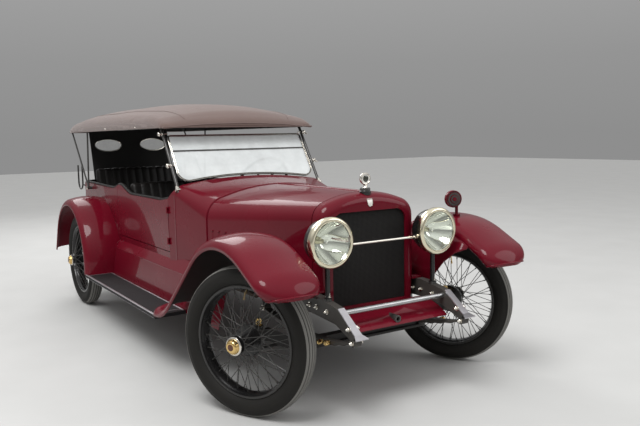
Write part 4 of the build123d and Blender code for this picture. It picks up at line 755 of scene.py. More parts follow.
bm = bmesh.new()
spots = {}
grid = []
for height in evenly_from(0, fall, 64):
    row = []
    for reach in evenly_from(-CURTAIN_WIDTH / 2, CURTAIN_WIDTH / 2, 96):
        u, v = reach, height
        for window in WINDOWS:
            near = window_reach(u, v, window)
            if SNAP_FROM < near < SNAP_TO:
                u, v = window[0] + (u - window[0]) / near, window[1] + (v - window[1]) / near
        wave = CURTAIN_WAVE * math.sin(math.pi * v / fall) * math.cos(6 * math.pi * u / CURTAIN_WIDTH)
        row.append(bm.verts.new(curtain_place @ Vector((u, v, wave))))
        spots[row[-1]] = (u, v)
    grid.append(row)
skin(bm, grid, keep=clear_of_windows)
drop_loose(bm)
curtain = piece("back_curtain", bm, LINING, replaces=("rear_curtain",), flat_over=60)
thicken(curtain, 0.0025)
bm = bmesh.new()
pane_bm = bmesh.new()
for u, v in WINDOWS:
    ring = [Vector((u + WINDOW_HALF[0] * p.x, v + WINDOW_HALF[1] * p.y, 0)) for p in circle(64)]
    tube(bm, ring, 0.006, 8, closed=True, place=curtain_place)
    middle, *edge = [pane_bm.verts.new(curtain_place @ p) for p in [Vector((u, v, 0))] + ring]
    for a, b in zip(edge, edge[1:] + edge[:1]):
        pane_bm.faces.new([middle, a, b])
piece("curtain_window_rings", bm, NICKEL)
piece("curtain_panes", pane_bm, PANE_GLASS)

# Front fenders with rounded noses; the line seen from the side and the apron's edge are in millimetres
FENDER_MID, FENDER_HALF, FENDER_SHOULDER, FENDER_CROWN = 0.745, 0.18, 0.055, 0.5
FENDER_SECTION = (FENDER_HALF, FENDER_SHOULDER, FENDER_CROWN)
NOSE_OUTER, NOSE_INNER, SHEET_METAL, LIP_INSET = 0.105, 0.07, 0.003, 0.0058
APRON_EDGE, APRON_FRONT, APRON_CLEAR = ((664, 597), (562, 652), (332, 701.7)), 520, 6
side_line = rounded_line([(-456, 700), (-445, 756), (69, 1022), (870, 352), (1024, 352)],
                         (0, 100, 558, 400), 24)
stations, fender_length = evenly(side_line, 130)
last_station = len(stations) - 1


def fender_point(index, k, side, inset=0):
    """A point on the fender's skin, k from its inner (-1) to its outer (1) edge."""
    here = stations[index]
    run_along = (stations[min(index + 1, last_station)] - stations[max(index - 1, 0)]).normalized()
    normal = Vector((run_along.y, -run_along.x))
    if normal.y < 0 or (abs(normal.y) < 0.3 and normal.x > 0 and here.x < 0):
        normal = -normal
    _, roof, bend = arch(*FENDER_SECTION)
    y, lift = on_arch(*FENDER_SECTION, abs(k) * (roof + bend))
    radius = NOSE_INNER if k < 0 else NOSE_OUTER
    run = fender_length * index / last_station / 1000
    if run < radius:
        y *= (FENDER_HALF - radius + math.sqrt(radius ** 2 - (radius - run) ** 2)) / FENDER_HALF
    spot = here + normal * lift * 1000
    return Vector((back(spot.x), side * (FENDER_MID + math.copysign(y - min(inset, y), k)), spot.y / 1000))


def outside_apron(four):
    """Whether one of four vertices isn't hidden behind the splash apron."""
    return not all(inside_apron(vert.co) for vert in four)


def inside_apron(point):
    """Whether a point lies hidden behind the splash apron."""
    distance, y, z = (FRONT - point.x) * 1000, abs(point.y) * 1000, point.z * 1000
    if distance < APRON_FRONT or z > APRON_EDGE[0][0]:
        return False
    for (high, y_high), (low, y_low) in zip(APRON_EDGE, APRON_EDGE[1:]):
        if low <= z <= high:
            return y < y_low + (y_high - y_low) * (z - low) / (high - low) - APRON_CLEAR
    return True


def skirt(bm, side):
    """Plate between the fender's inner edge and the frame; each row is a distance and a share of its depth."""
    rows = []
    for distance, share in ((-330, 0.08), (-270, 0.3), (-215, 0.58), (-165, 1), (-100, 1), (-30, 1), (40, 1),
                            (110, 1), (180, 1), (250, 1), (315, 1), (380, 1), (430, 1), (480, 1)):
        run = hood_run(max(distance, -30))
        edge_line = min(stations, key=lambda p: abs(p.x - distance)).y
        low = Vector((0.404 + run * 0.196, 0.608 + run * 0.035))
        high = Vector((0.5665, edge_line / 1000 + 0.006))
        foot = high.lerp(low, share)
        rows.append([bm.verts.new((back(distance), side * p.x, p.y))
                     for p in (high.lerp(foot, t) for t in evenly_from(0, 1, 4))])
    skin(bm, rows)


def hood_run(distance):
    """Share of the way along the hood, from its front end."""
    return (distance + 30) / 980


for side, label in SIDES:
    bm = bmesh.new()
    skin(bm, [[bm.verts.new(fender_point(i, k, side)) for k in evenly_from(-1, 1, 32)]
              for i in range(len(stations))], keep=outside_apron)
    drop_loose(bm)
    skirt(bm, side)
    fender = piece(f"front_fender_{label}", bm, [MAROON, CHASSIS], replaces=("fenders_front",),
                   flat_over=50)
    for face in fender.data.polygons:
        spot = face.center
        outside = spot - Vector((back(150), 0, 0.5)) if spot.x > back(800) else Vector((-0.4, 0, 0.9))
        outside.y = 0.25 * side * (abs(spot.y) - 0.7)
        if face.normal.dot(outside) < 0:
            face.flip()
    thicken(fender, SHEET_METAL, offset=-1, inner=1)
    bm = bmesh.new()
    rim = [fender_point(i, 1, side, LIP_INSET) for i in range(last_station, 0, -2)]
    rim += [fender_point(1, k / 12, side) for k in range(12, -13, -1)]
    rim += [fender_point(i, -1, side, LIP_INSET) for i in range(1, 34, 2)]
    tube(bm, rim, 0.0056, 10)
    piece(f"front_fender_lip_{label}", bm, MAROON)

# Bows and irons of the top
BOW_LIFT, IRON_Y, IRON, HUB_D, HUB_Z = -14.5, 0.612, 0.008, 3655, 1.035
bow_foot = DROP / 1000 + 0.005
bm = bmesh.new()
for distance in BOW_PLACES[1:-1]:
    tube(bm, [top_point(distance, share, BOW_LIFT) for share in evenly_from(-0.99, 0.99, 64)], 0.0105, 14)
for side, _ in SIDES:
    y = side * IRON_Y
    for distance in (3600, 4180):
        tube(bm, [(back(HUB_D), y, HUB_Z), (back(distance), y, bow_foot)], IRON, 14)
    tube(bm, [(back(1640), y, bow_foot), (back(2600), y, bow_foot)], IRON, 14)
    tube(bm, [(back(HUB_D), side * 0.552, HUB_Z), (back(HUB_D), side * 0.626, HUB_Z)], 0.015, 24)
    tube(bm, [(back(1649), side * 0.6015, bow_foot), (back(1649), y, bow_foot)], 0.0055, 12)
piece("top_bows_and_irons", bm, BLACK, replaces=("top_bows",), flat_over=50)

# Seats; a pad's sewn channels fade out over a share of its profile
END_ROUND, END_CROWN, CREASE = 0.024, 0.007, 0.0012
CHANNEL_DEPTH, CHANNEL_LIFT, ZONE_FADE = 0.013, 0.001, 0.03


def pad_stations(half, channels):
    """Places across a pad, close together where its ends are rounded."""
    ends = [half - END_ROUND + END_ROUND * math.sin(math.pi / 2 * i / 6) for i in range(1, 7)]
    middle = evenly_from(-half + END_ROUND, half - END_ROUND, channels * 10)
    return [-y for y in reversed(ends)] + middle + ends


def pleated_pad(name, outline, radii, half, pleat, zone, replaces):
    """A crowned leather pad: a rounded profile in mm across the car, sewn channels in one stretch of it."""
    line = rounded_line([outline[-1]] + outline + [outline[0]], (0, *radii, 0), 7)[1:-1]
    profile = evenly(line + line[:1], 84)[0][:-1]
    centre = sum(profile, Vector((0, 0))) / len(profile)
    count = len(profile)
    normals = []
    for i, p in enumerate(profile):
        run = profile[(i + 1) % count] - profile[i - 1]
        normal = Vector((run.y, -run.x)).normalized()
        normals.append(-normal if normal.dot(centre - p) < 0 else normal)
    channels = max(2, round(2 * half / pleat))
    bm = bmesh.new()
    rings = []
    for y in pad_stations(half, channels):
        over = max(0, abs(y) - (half - END_ROUND)) / END_ROUND
        shrink = END_ROUND * (1 - math.sqrt(max(0, 1 - over ** 2)))
        crown = END_CROWN * (abs(y) / half) ** 4
        place = (y + half) / (2 * half) * channels
        q = 2 * (place - math.floor(place)) - 1 if place < channels else 1
        dip = CHANNEL_DEPTH * (1 - math.sqrt(max(0, 1 - 0.97 * q * q)))
        ring = []
        for i, (p, normal) in enumerate(zip(profile, normals)):
            share = i / count
            weight = max(0, min(1, (share - zone[0]) / ZONE_FADE, (zone[1] - share) / ZONE_FADE))
            crease = CREASE * abs(math.sin(41 * y + 9 * share) * math.sin(60 * share + 17 * y))
            spot = p / 1000 + normal * (shrink + (dip + CHANNEL_LIFT) * weight + crown + crease)
            ring.append(bm.verts.new((back(spot.x * 1000), y, spot.y)))
        rings.append(ring)
    skin_rings(bm, rings)
    made = piece(name, bm, LEATHER, replaces=replaces, flat_over=75)


# Name, cushion's front and rear, the back's profile in mm, half width, pleat
SEATS = (
    ("front", 1960, 2366, [(2380, 803), (2528, 803), (2533, 1138), (2447, 1138), (2380, 948)], 0.57, 0.076),
    ("rear", 3192, 3798, [(3808, 803), (3958, 803), (3963, 1213), (3877, 1213), (3808, 948)], 0.463, 0.077),
)
for label, front_end, rear_end, squab, half, pleat in SEATS:
    cushion = [(rear_end, 803), (rear_end, 943), (front_end, 943), (front_end, 803)]
    replaces = (f"{label}_seat",)
    pleated_pad(f"{label}_cushion", cushion, (30, 26, 44, 30), half, pleat, (0.14, 0.62), replaces)
    pleated_pad(f"{label}_squab", squab, (26, 26, 40, 40, 26), half, pleat, (0.38, 0.97), replaces)
    bm = bmesh.new()
    for y in (-half + 0.012, half - 0.012):
        tube(bm, [(back(front_end + 30), y, 0.9405), (back(rear_end - 26), y, 0.9405)], 0.0042, 8)
    for z, radius in ((0.905, 0.0042), (0.835, 0.0036)):
        tube(bm, [(back(front_end + 3), y, z) for y in (-half + 0.03, 0, half - 0.03)], radius, 8)
    piece(f"{label}_seat_piping", bm, LEATHER)

# Leather roll and lining round the cabin
EDGE_LINE = rounded_line([(1480, 1069), (1640, 1045), (2380, 1045), (2640, 1124), (2800, 1075),
                          (4122, 1075)], (0, 600, 480, 240, 300), 14)
ROLL = [(0.017 * p.x, 0.012 * p.y) for p in circle(14)]
ROLL_Y, ROLL_LIFT, CARD_Y = 0.599, 0.005, 0.5795


def edge_height(distance):
    """Height of the body's upper edge, in metres."""
    for a, b in zip(EDGE_LINE, EDGE_LINE[1:]):
        if a.x <= distance <= b.x:
            return (a.y + (b.y - a.y) * (distance - a.x) / max(b.x - a.x, 1e-6)) / 1000
    return EDGE_LINE[-1].y / 1000


def hinged_leather(name, bm, label):
    """A leather piece of one door."""
    return piece(f"{name}_{label}", bm, LEATHER, f"door_{label}")


for side, label in SIDES:
    bm = bmesh.new()
    line = [(back(d), side * ROLL_Y, edge_height(d) + ROLL_LIFT) for d in evenly_from(1494, 2690, 60)]
    sweep(bm, line, ROLL)
    hinged_leather("door_roll", bm, label)
    bm = bmesh.new()
    columns = []
    for d in evenly_from(1496, 2688, 40):
        heights = evenly_from(0.69, edge_height(d) - 0.012, 6)
        columns.append([bm.verts.new((back(d), side * CARD_Y, z)) for z in heights])
    skin(bm, columns)
    thicken(hinged_leather("door_card", bm, label), 0.0025)
    bm = bmesh.new()
    for z in (0.8, 0.72):
        brick(bm, (back(2480), side * 0.5705, z), (back(1700), side * 0.5785, z + 0.015), 0.003)
    hinged_leather("door_pocket", bm, label)
    bm = bmesh.new()
    lathe(bm, [(0, 0), (0.017, 0), (0.018, 0.003), (0.01, 0.006), (0.008, 0.014), (0, 0.014)],
          place_at((back(2615), side * 0.5785, 0.965), (0, -side, 0), AHEAD), 24)
    grip = ((2615, 0.5655, 0.965), (2580, 0.563, 0.963), (2540, 0.565, 0.958))
    tube(bm, [(back(d), side * y, z) for d, y, z in grip], [0.006, 0.0055, 0.0045], 10)
    piece(f"door_handle_{label}", bm, NICKEL, f"door_{label}")


def tub_plan(front_end, half, bend_at, rear_end, rear_half, corner, count):
    """A line round the rear of the cabin seen from above, in mm."""
    half_line = [(front_end, half), (bend_at, half), (rear_end, rear_half)]
    line = half_line + [(x, -y) for x, y in half_line[::-1]]
    return evenly(rounded_line(line, (0, 2000, corner, corner, 2000), 12), count)[0]


def lining_column(p):
    """The lining at one place of its plan: its foot follows the floors, and the rear panel leans back."""
    low = 0.722 if p.x > 2880 else 0.652
    if p.x > 3935:
        low = max(low, 0.722 + (p.x - 3935) * 0.00105)
    lean = 16 if p.x > 4000 else 0
    levels = evenly_from(low, edge_height(min(p.x, 4120)) - 0.01, 6)
    return [(back(p.x - lean * (6 - t) / 6), p.y / 1000, z) for t, z in enumerate(levels)]


bm = bmesh.new()
sweep(bm, [(back(p.x), p.y / 1000, edge_height(min(p.x, 4120)) + ROLL_LIFT)
           for p in tub_plan(2706, 599, 2950, 4102, 526, 128, 150)], ROLL)
piece("tub_roll", bm, LEATHER)
bm = bmesh.new()
lining_plan = tub_plan(2708, 580, 2950, 4088, 503.5, 108, 110)
skin(bm, [[bm.verts.new(spot) for spot in lining_column(p)] for p in lining_plan])
thicken(piece("tub_lining", bm, LEATHER), 0.002)
bm = bmesh.new()
brick(bm, (back(1955), -0.565, 0.6452), (back(1080), 0.565, 0.6492), 0.001)
brick(bm, (back(3185), -0.545, 0.7152), (back(2880), 0.545, 0.7192), 0.001)
piece("cabin_floor_mats", bm, CARPET)
bm = bmesh.new()
brick(bm, (back(2568), -0.56, 0.74), (back(2559.7), 0.56, 1.055), 0.002)
bend = ((-0.42, 1), (-0.42, 1.005), (0.42, 1.005), (0.42, 1))
tube(bm, [(back(2590), y, z) for y, z in bend], 0.009, 10, index=1)
for y in (-0.42, 0.42):
    tube(bm, [(back(2566), y, 1.003), (back(2590), y, 1.003)], 0.007, 10, index=1)
piece("robe_rail", bm, [LEATHER, NICKEL])

# Running boards: trim boxes as distance, y and z of two corners, then bevel
TRIM = (
    ((2728, 0.9065, 0.3515), (1032, 0.9205, 0.3568), 0.0015),
    ((2728, 0.708, 0.3515), (1032, 0.721, 0.3568), 0.0015),
    ((2740, 0.9165, 0.331), (1026, 0.9208, 0.3468), 0.0012),
    ((2665, 0.7212, 0.3515), (2655, 0.9063, 0.3565), 0.0012),
    ((1075, 0.7212, 0.3515), (1065, 0.9063, 0.3565), 0.0012),
)
RIB = [(-0.0026, 0), (-0.0018, 0.0014), (0.0018, 0.0014), (0.0026, 0)]
LEDGE = [(-0.01, -0.011), (0.006, -0.009), (0.013, -0.003), (0.012, 0.003), (0.004, 0.006), (-0.01, 0.007)]
for side, label in SIDES:
    bm = bmesh.new()
    for corner, opposite, bevel in TRIM:
        brick(bm, *((back(d), side * y, z) for d, y, z in (corner, opposite)), bevel)
    for d in range(1100, 2601, 300):
        for y in (0.9135, 0.7145):
            ball(bm, (back(d), side * y, 0.3566), 0.0028, 8, squash=(1, 1, 0.5))
    piece(f"board_trim_{label}", bm, HORN_PLATE)
    bm = bmesh.new()
    for y in evenly_from(0.7275, 0.9, 18):
        sweep(bm, [(back(2648), side * y, 0.3558), (back(1082), side * y, 0.3558)], RIB)
    piece(f"board_ribs_{label}", bm, MAT)
    bm = bmesh.new()
    sweep(bm, [(back(d), side * y, z) for d, y, z in ((515, 0.642, 0.557), (950, 0.6535, 0.5635),
                                                      (2870, 0.6535, 0.5635))],
          [(s * side, u) for s, u in LEDGE][::-side])
    piece(f"apron_ledge_{label}", bm, MAROON)

# Windshield; v is the distance up its slope, out the distance in front of it
screen_low, screen_high = Vector((back(1364), 0, 1.15)), Vector((back(1649), 0, 1.585))
screen_up = (screen_high - screen_low).normalized()
screen_out = Vector((screen_up.z, 0, -screen_up.x))
SCREEN_HALF, SCREEN_FOOT, FOOT_BOW, LOW_ROUND, TOP_ROUND = 0.566, 0.034, 0.05, 0.08, 0.026
SCREEN_TOP, SCREEN_SPLIT, POST_Y = 0.442, 0.305, 0.59


def on_screen(y, v, out=0):
    """A point on the windshield."""
    return screen_low + Vector((0, y, 0)) + screen_up * v + screen_out * out


def foot_bow(y, inset):
    """Lower edge of the opening, before its corners are rounded."""
    return SCREEN_FOOT + inset + FOOT_BOW * (1 - (y / (SCREEN_HALF - inset)) ** 2)


def screen_loop(inset, out=0):
    """The outline of the windshield's opening, drawn in by an inset."""
    half, top_v = SCREEN_HALF - inset, SCREEN_TOP - inset
    low = [(y, foot_bow(y, inset)) for y in (-half, -0.36, -0.18, 0, 0.18, 0.36, half)]
    ends = [TOP_ROUND - inset, LOW_ROUND - inset]
    radii = [0] + ends + [0.3] * (len(low) - 2) + ends[::-1]
    line = rounded_line([(0, top_v), (-half, top_v)] + low + [(half, top_v), (0, top_v)], radii, 8)
    return [on_screen(p.x, p.y, out) for p in line[:-1]]


def pane_foot(y, inset):
    """Lower edge of the glass at a place across the car."""
    radius = LOW_ROUND - inset
    over = abs(y) - (SCREEN_HALF - inset - radius)
    if over <= 0:
        return foot_bow(y, inset)
    corner = SCREEN_FOOT + inset + radius - math.sqrt(max(0, radius ** 2 - over ** 2))
    return max(foot_bow(y, inset), corner)


quarter = [(0.006, 0.005), (0.004, 0.007), (-0.004, 0.007), (-0.006, 0.005)]
bar = quarter + [(-s, -u) for s, u in quarter]
bm = bmesh.new()
sweep(bm, screen_loop(0.006), bar, up=screen_out, closed=True)
sweep(bm, [on_screen(-0.558, SCREEN_SPLIT), on_screen(0.558, SCREEN_SPLIT)], bar, up=screen_out)
for side, _ in SIDES:
    tube(bm, [on_screen(side * POST_Y, -0.04), on_screen(side * POST_Y, 0.52)], 0.011, 24)
piece("windshield_bars", bm, BLACK, replaces=("windshield_frame",), flat_over=40)
GLASS, GLASS_INSET, GLASS_HALF = 0.003, 0.0095, 0.5555
for label, low_v, high_v in (("lower", None, SCREEN_SPLIT - 0.001),
                             ("upper", SCREEN_SPLIT + 0.001, SCREEN_TOP - 0.008)):
    bm = bmesh.new()
    columns = []
    for turn in evenly_from(-math.pi / 2, math.pi / 2, 60):
        y = GLASS_HALF * math.sin(turn)
        foot_v = low_v or pane_foot(y, GLASS_INSET)
        section = ((foot_v, GLASS), (high_v, GLASS), (high_v, -GLASS), (foot_v, -GLASS))
        columns.append([bm.verts.new(on_screen(y, v, out)) for v, out in section])
    skin_rings(bm, columns)
    piece(f"windshield_pane_{label}", bm, SCREEN_GLASS, replaces=("windshield_glass",),
          flat_over=30)

# Windshield brightwork: beads, post caps and feet, clamps with their levers
POST_CAP = [(0.0112, 0), (0.015, 0.002), (0.016, 0.008), (0.015, 0.016), (0.01, 0.021), (0, 0.0225)]
POST_FOOT = [(0.0113, 0), (0.023, 0.002), (0.024, 0.01), (0.019, 0.018), (0.015, 0.04), (0.0113, 0.044)]
CLAMP = [(0, -0.004), (0.014, -0.004), (0.015, 0.002), (0.0115, 0.005), (0.0115, 0.012), (0.0165, 0.016),
         (0.017, 0.024), (0.013, 0.03), (0, 0.032)]
bm = bmesh.new()
for inset, radius in ((0.0112, 0.0016), (0.0012, 0.0019)):
    tube(bm, screen_loop(inset, 0.0066), radius, 8, closed=True)
for side, _ in SIDES:
    for profile, v in ((POST_CAP, 0.505), (POST_FOOT, -0.03)):
        lathe(bm, profile, place_at(on_screen(side * POST_Y, v), screen_up, (0, 1, 0)), 24)
    for v in (0.185, 0.455):
        lathe(bm, CLAMP, place_at(on_screen(side * 0.598, v), (0, side, 0), screen_up), 24)
        lever = [on_screen(side * 0.62, v), on_screen(side * 0.626, v - 0.024, 0.016)]
        tube(bm, lever, [0.0055, 0.0042], 10)
        ball(bm, on_screen(side * 0.627, v - 0.027, 0.018), 0.0062, 10)
        tube(bm, [on_screen(side * 0.556, v, 0.002), on_screen(side * 0.582, v, 0.002)], 0.005, 10)
piece("windshield_brightwork", bm, NICKEL)

# Cowl beads, louvre tips and hood catches
COWL_ENDS = ((950, 555, 1170, 150, 1400), (1372, 610, 1212, 75, 3500))
BEAD_LIFT, HOOD_FOOT = 0.6, 0.742


def cowl_point(share, part, t):
    """A point on the cowl: share runs to its rear end, t up its shoulder or its crown."""
    ends = []
    for distance, half, top_z, shoulder, crown in COWL_ENDS:
        rise, roof, bend = arch(half, shoulder, crown)
        run = roof * (1 - t) if part == "crown" else roof + bend * (1 - t)
        y, z = on_arch(half, shoulder, crown, run, BEAD_LIFT)
        ends.append(Vector((back(distance), y / 1000, (top_z - crown + rise + z) / 1000)))
    return ends[0].lerp(ends[1], share)


def hood_half(distance):
    """Half width of the hood's sides."""
    return 0.345 + (0.555 - 0.345) * hood_run(distance)


bm = bmesh.new()
for share, radius in ((0.02, 0.0042), (0.76, 0.003), (0.82, 0.003), (0.88, 0.003), (0.94, 0.003)):
    full = share < 0.1
    half_line = [cowl_point(share, "crown", t) for t in evenly_from(0 if full else 0.3, 1, 16)]
    if full:
        half_line = [cowl_point(share, "shoulder", t / 10) for t in range(10)] + half_line
        foot = half_line[0]
        half_line = [Vector((foot.x, foot.y, z)) for z in evenly_from(HOOD_FOOT, foot.z, 5)[:-1]] + half_line
    tube(bm, half_line + [Vector((p.x, -p.y, p.z)) for p in half_line[-2::-1]], radius, 8)
piece("cowl_beads", bm, MAROON)
for side, label in SIDES:
    bm = bmesh.new()
    for d in range(486, 895, 68):
        y = side * (hood_half(d) + 0.002)
        for z, radius in ((0.889, 0.0068), (0.801, 0.006)):
            ball(bm, (back(d), y, z), radius, 10, squash=(1.5, 0.9, 0.8))
    piece(f"louvre_tips_{label}", bm, MAROON, f"hood_{label}")
    bm = bmesh.new()
    for d in (190, 640):
        place = Matrix.Translation((back(d), side * (hood_half(d) + 0.0035), 0.772))
        brick(bm, (-0.011, -0.004, -0.02), (0.011, 0.004, 0.02), 0.003, place=place)
        tube(bm, [(x, side * 0.007, 0.014) for x in (-0.016, 0.016)], 0.0042, 10, place=place)
        for x in (-0.014, 0.014):
            tube(bm, [(x, 0, 0.014), (x, side * 0.007, 0.014)], 0.0032, 8, place=place)
    piece(f"hood_catches_{label}", bm, NICKEL, f"hood_{label}")


# Nuts and grease cups on the chassis

def acorn(bm, place, size):
    """A hexagon nut with a domed end, on a washer."""
    lathe(bm, [(0, 0), (size * 1.45, 0), (size * 1.45, 0.002), (size * 1.05, 0.0022)], place, 20)
    lathe(bm, [(size, 0.002), (size, 0.009), (size * 0.85, 0.011)], place, 6)
    lathe(bm, [(size * 0.85, 0.01), (size * 0.75, 0.016), (size * 0.4, 0.0205), (0, 0.0215)], place, 16)


# Distance, y, height and size of nuts: through both sides of the frame, facing out, facing up
PAIRED_NUTS = ((-484, 0.4005, 0.3535, 0.432, 0.011), (-455, 0.4005, 0.3535, 0.5, 0.011),
               (-72, 0.4002, 0.3538, 0.56, 0.01), (-146, 0.4002, 0.3538, 0.56, 0.01),
               (-250, 0.4002, 0.3538, 0.552, 0.01))
OUTWARD_NUTS = ((484, 0.4015, 0.432), (2610, 0.4845, 0.572), (3850, 0.4845, 0.572))
UPWARD_NUTS = ((-242, 0.376, 0.6275, 0.006), (-208, 0.376, 0.6275, 0.006), (-27.5, 0.377, 0.3838, 0.008),
               (27.5, 0.377, 0.3838, 0.008))
KINGPIN_CUP = [(0.012, 0), (0.019, 0.001), (0.02, 0.006), (0.015, 0.009), (0.013, 0.02), (0.017, 0.022),
               (0.018, 0.034), (0.014, 0.041), (0, 0.044)]
SPRING_CUP = [(0, 0), (0.014, 0), (0.015, 0.004), (0.011, 0.007), (0.01, 0.012), (0.0155, 0.014),
              (0.016, 0.024), (0.012, 0.029), (0, 0.031)]
bm = bmesh.new()
cup_bm = bmesh.new()
for side, _ in SIDES:
    for d, outer, inner, z, size in PAIRED_NUTS:
        acorn(bm, facing((0, side, 0), d, side * outer, z), size)
        acorn(bm, facing((0, -side, 0), d, side * inner, z), size)
    for d, y, z in OUTWARD_NUTS:
        acorn(bm, facing((0, side, 0), d, side * y, z), 0.012)
    for d, y, z, size in UPWARD_NUTS:
        acorn(bm, upward(d, side * y, z), size)
    for d, z in ((-266, 0.388), (-196, 0.378)):
        lathe(cup_bm, SPRING_CUP, facing((0, side, 0), d, side * 0.4005, z), 22)
piece("chassis_acorn_nuts", bm, NICKEL, flat_over=30)
for side, label in SIDES:
    bm = bmesh.new()
    lathe(bm, KINGPIN_CUP, upward(0, side * KINGPIN_Y, 0.469), 24)
    piece(f"grease_cup_knuckle_{label}", bm, BRASS, f"knuckle_{label}")
piece("rail_grease_cups", cup_bm, BRASS)

# Dashboard instruments and knobs
DASH_D = 1420.5
bm = bmesh.new()
for y, radius in ((0, 0.05), (-0.14, 0.036), (0.14, 0.036)):
    place = facing(BEHIND, DASH_D, y, 1.085)
    lathe(bm, [(radius, 0), (radius, 0.006), (radius * 0.95, 0.01), (radius * 0.88, 0.0105),
               (radius * 0.84, 0.007)], place, 40)
    lathe(bm, [(radius * 0.84, 0.007), (0, 0.007)], place, 40, index=1)
    for angle in range(-120, 121, 24):
        tick = [polar(radius * share, angle, 0.0072) for share in (0.66, 0.78)]
        tube(bm, tick, 0.0009, 5, index=2, place=place)
    tube(bm, [(0, 0, 0.0078), (-radius * 0.45, radius * 0.35, 0.0078)], 0.0011, 5, index=2, place=place)
    ball(bm, place @ Vector((0, 0, 0.0075)), 0.003, 8, index=2)
for y in (-0.06, -0.03, 0.22, 0.26):
    lathe(bm, [(0.006, 0), (0.006, 0.014), (0.011, 0.016), (0.012, 0.022), (0.008, 0.026), (0, 0.027)],
          facing(BEHIND, DASH_D, y, 1.03), 20)
piece("dash_instruments", bm, [NICKEL, WHITE_DIAL, BLACK], flat_over=30)

# Levers and pedals: side, then distances and heights, radii, sides and finish
RODS = (
    (0.245, ((1085, 0.652), (1130, 0.7), (1165, 0.79)), [0.009, 0.008, 0.007], 10, 0),
    (0.405, ((1085, 0.652), (1130, 0.7), (1165, 0.79)), [0.009, 0.008, 0.007], 10, 0),
    (0.325, ((1120, 0.652), (1150, 0.69), (1180, 0.712)), [0.006, 0.006, 0.005], 8, 0),
    (0.06, ((1520, 0.68), (1535, 0.78), (1590, 0.94)), [0.008, 0.007, 0.006], 10, 0),
    (-0.03, ((1470, 0.648), (1500, 0.8), (1580, 0.985)), [0.009, 0.008, 0.006], 10, 0),
    (-0.03, ((1580, 0.985), (1598, 1.025)), [0.012, 0.011], 12, 1),
)
bm = bmesh.new()
for y, line, radii, sides, index in RODS:
    tube(bm, [(back(d), y, z) for d, z in line], radii, sides, index)
for y in (0.245, 0.405):
    brick(bm, (-0.004, -0.028, -0.036), (0.006, 0.028, 0.036), 0.003, index=1,
          place=place_at((back(1172), y, 0.802), (0.45, 0, 0.9), (1, 0, -0.5)))
ball(bm, (back(1184), 0.325, 0.716), 0.017, 12, index=2, squash=(0.6, 1, 1))
lathe(bm, [(0, 0.646), (0.042, 0.646), (0.042, 0.656), (0.03, 0.668), (0.016, 0.684), (0, 0.688)],
      upward(1520, 0.06, 0), 28)
ball(bm, (back(1595), 0.06, 0.953), 0.021, 14, index=1)
tube(bm, [(back(1566), -0.015, 0.955), (back(1586), -0.018, 1)], 0.0035, 8, index=2)
piece("levers_and_pedals", bm, [BLACK, MAT, NICKEL])

# Steering wheel: a rim with finger grips, four spokes, a hub and two levers
WHEEL_R, RIM_HALF, GRIP, GRIPS = 0.215, 0.0125, 0.0011, 36
column_foot, column_head = Vector((back(1090), 0.33, 0.69)), Vector((back(1770), 0.33, 1.12))
column_run = (column_head - column_foot).normalized()
wheel_seat = place_at(column_head + column_run * 0.0403, column_run, (0, 1, 0))
bm = bmesh.new()
rings = []
for angle in (360 * i / 144 for i in range(144)):
    swell = RIM_HALF - GRIP * (0.5 + 0.5 * math.cos(math.radians(angle * GRIPS))) ** 3
    rings.append([bm.verts.new(wheel_seat @ polar(WHEEL_R + p.x, angle, p.y)) for p in circle(16, swell)])
skin_rings(bm, rings, closed=True)
for angle in (45, 135, 225, 315):
    spoke = [polar(radius, angle, height)
             for radius, height in ((0.02, -0.02), (0.1, -0.013), (0.17, -0.006), (0.2045, 0))]
    tube(bm, spoke, [0.0095, 0.0078, 0.007, 0.008], 12, index=1, place=wheel_seat)
lathe(bm, [(0, -0.0985), (0.0125, -0.0985), (0.0125, -0.04), (0.028, -0.038), (0.0335, -0.03),
           (0.0335, -0.01), (0.029, -0.004), (0, -0.004)], wheel_seat, 40, index=1)
lathe(bm, [(0, -0.0045), (0.02, -0.0045), (0.021, 0), (0.017, 0.005), (0, 0.007)], wheel_seat, 32, index=2)
for angle, reach in ((70, 0.105), (110, 0.095)):
    tip = polar(reach, angle, 0.006)
    tube(bm, [polar(0.012, angle, 0.003), tip], [0.0042, 0.003], 8, index=1, place=wheel_seat)
    ball(bm, wheel_seat @ tip, 0.0075, 10, index=2)
piece("steering_rim_and_spider", bm, [WOOD, NICKEL, BLACK], "steering_wheel",
      ("steering_wheel",), 50)

# Horn rings: radius, height and half width; the black rings are painted shade in the grooves between the
# horn's steps
horn_facing = polar(1, -20)
horn_face = Vector((back(-100), 0.655, 1.088)) + horn_facing * 0.02
bm = bmesh.new()
for radius, lift, wide in ((0.0465, 0.0002, 0.0032), (0.034, 0.0082, 0.006), (0.0185, 0.0152, 0.005)):
    lathe(bm, [(radius - wide, 0), (radius - wide, 0.0008), (radius + wide, 0.0008), (radius + wide, 0)],
          place_at(horn_face + horn_facing * lift, horn_facing, UP), 40, index=1, closed=True)
bead = [(0.0505 + p.x, 0.0005 + p.y) for p in circle(10, 0.0032)]
lathe(bm, bead, place_at(horn_face, horn_facing, UP), 48, closed=True)
piece("horn_rings", bm, [MAROON, BLACK])

# Tail lamp's rim, lens and screws
tail_place = facing(BEHIND, 4045, 0.377, 0.64)
bm = bmesh.new()
lathe(bm, [(0.0425, -0.01), (0.044, -0.004), (0.044, 0.002), (0.04, 0.005), (0.0355, 0.004)], tail_place, 40)
lathe(bm, [(0.0355, 0.003), (0.03, 0.01), (0.018, 0.014), (0, 0.0155)], tail_place, 40, index=1)
for angle in (45, 135, 225, 315):
    ball(bm, tail_place @ polar(0.0405, angle, 0.005), 0.0028, 8)
piece("tail_lamp_lens", bm, [NICKEL, TAIL_RED])

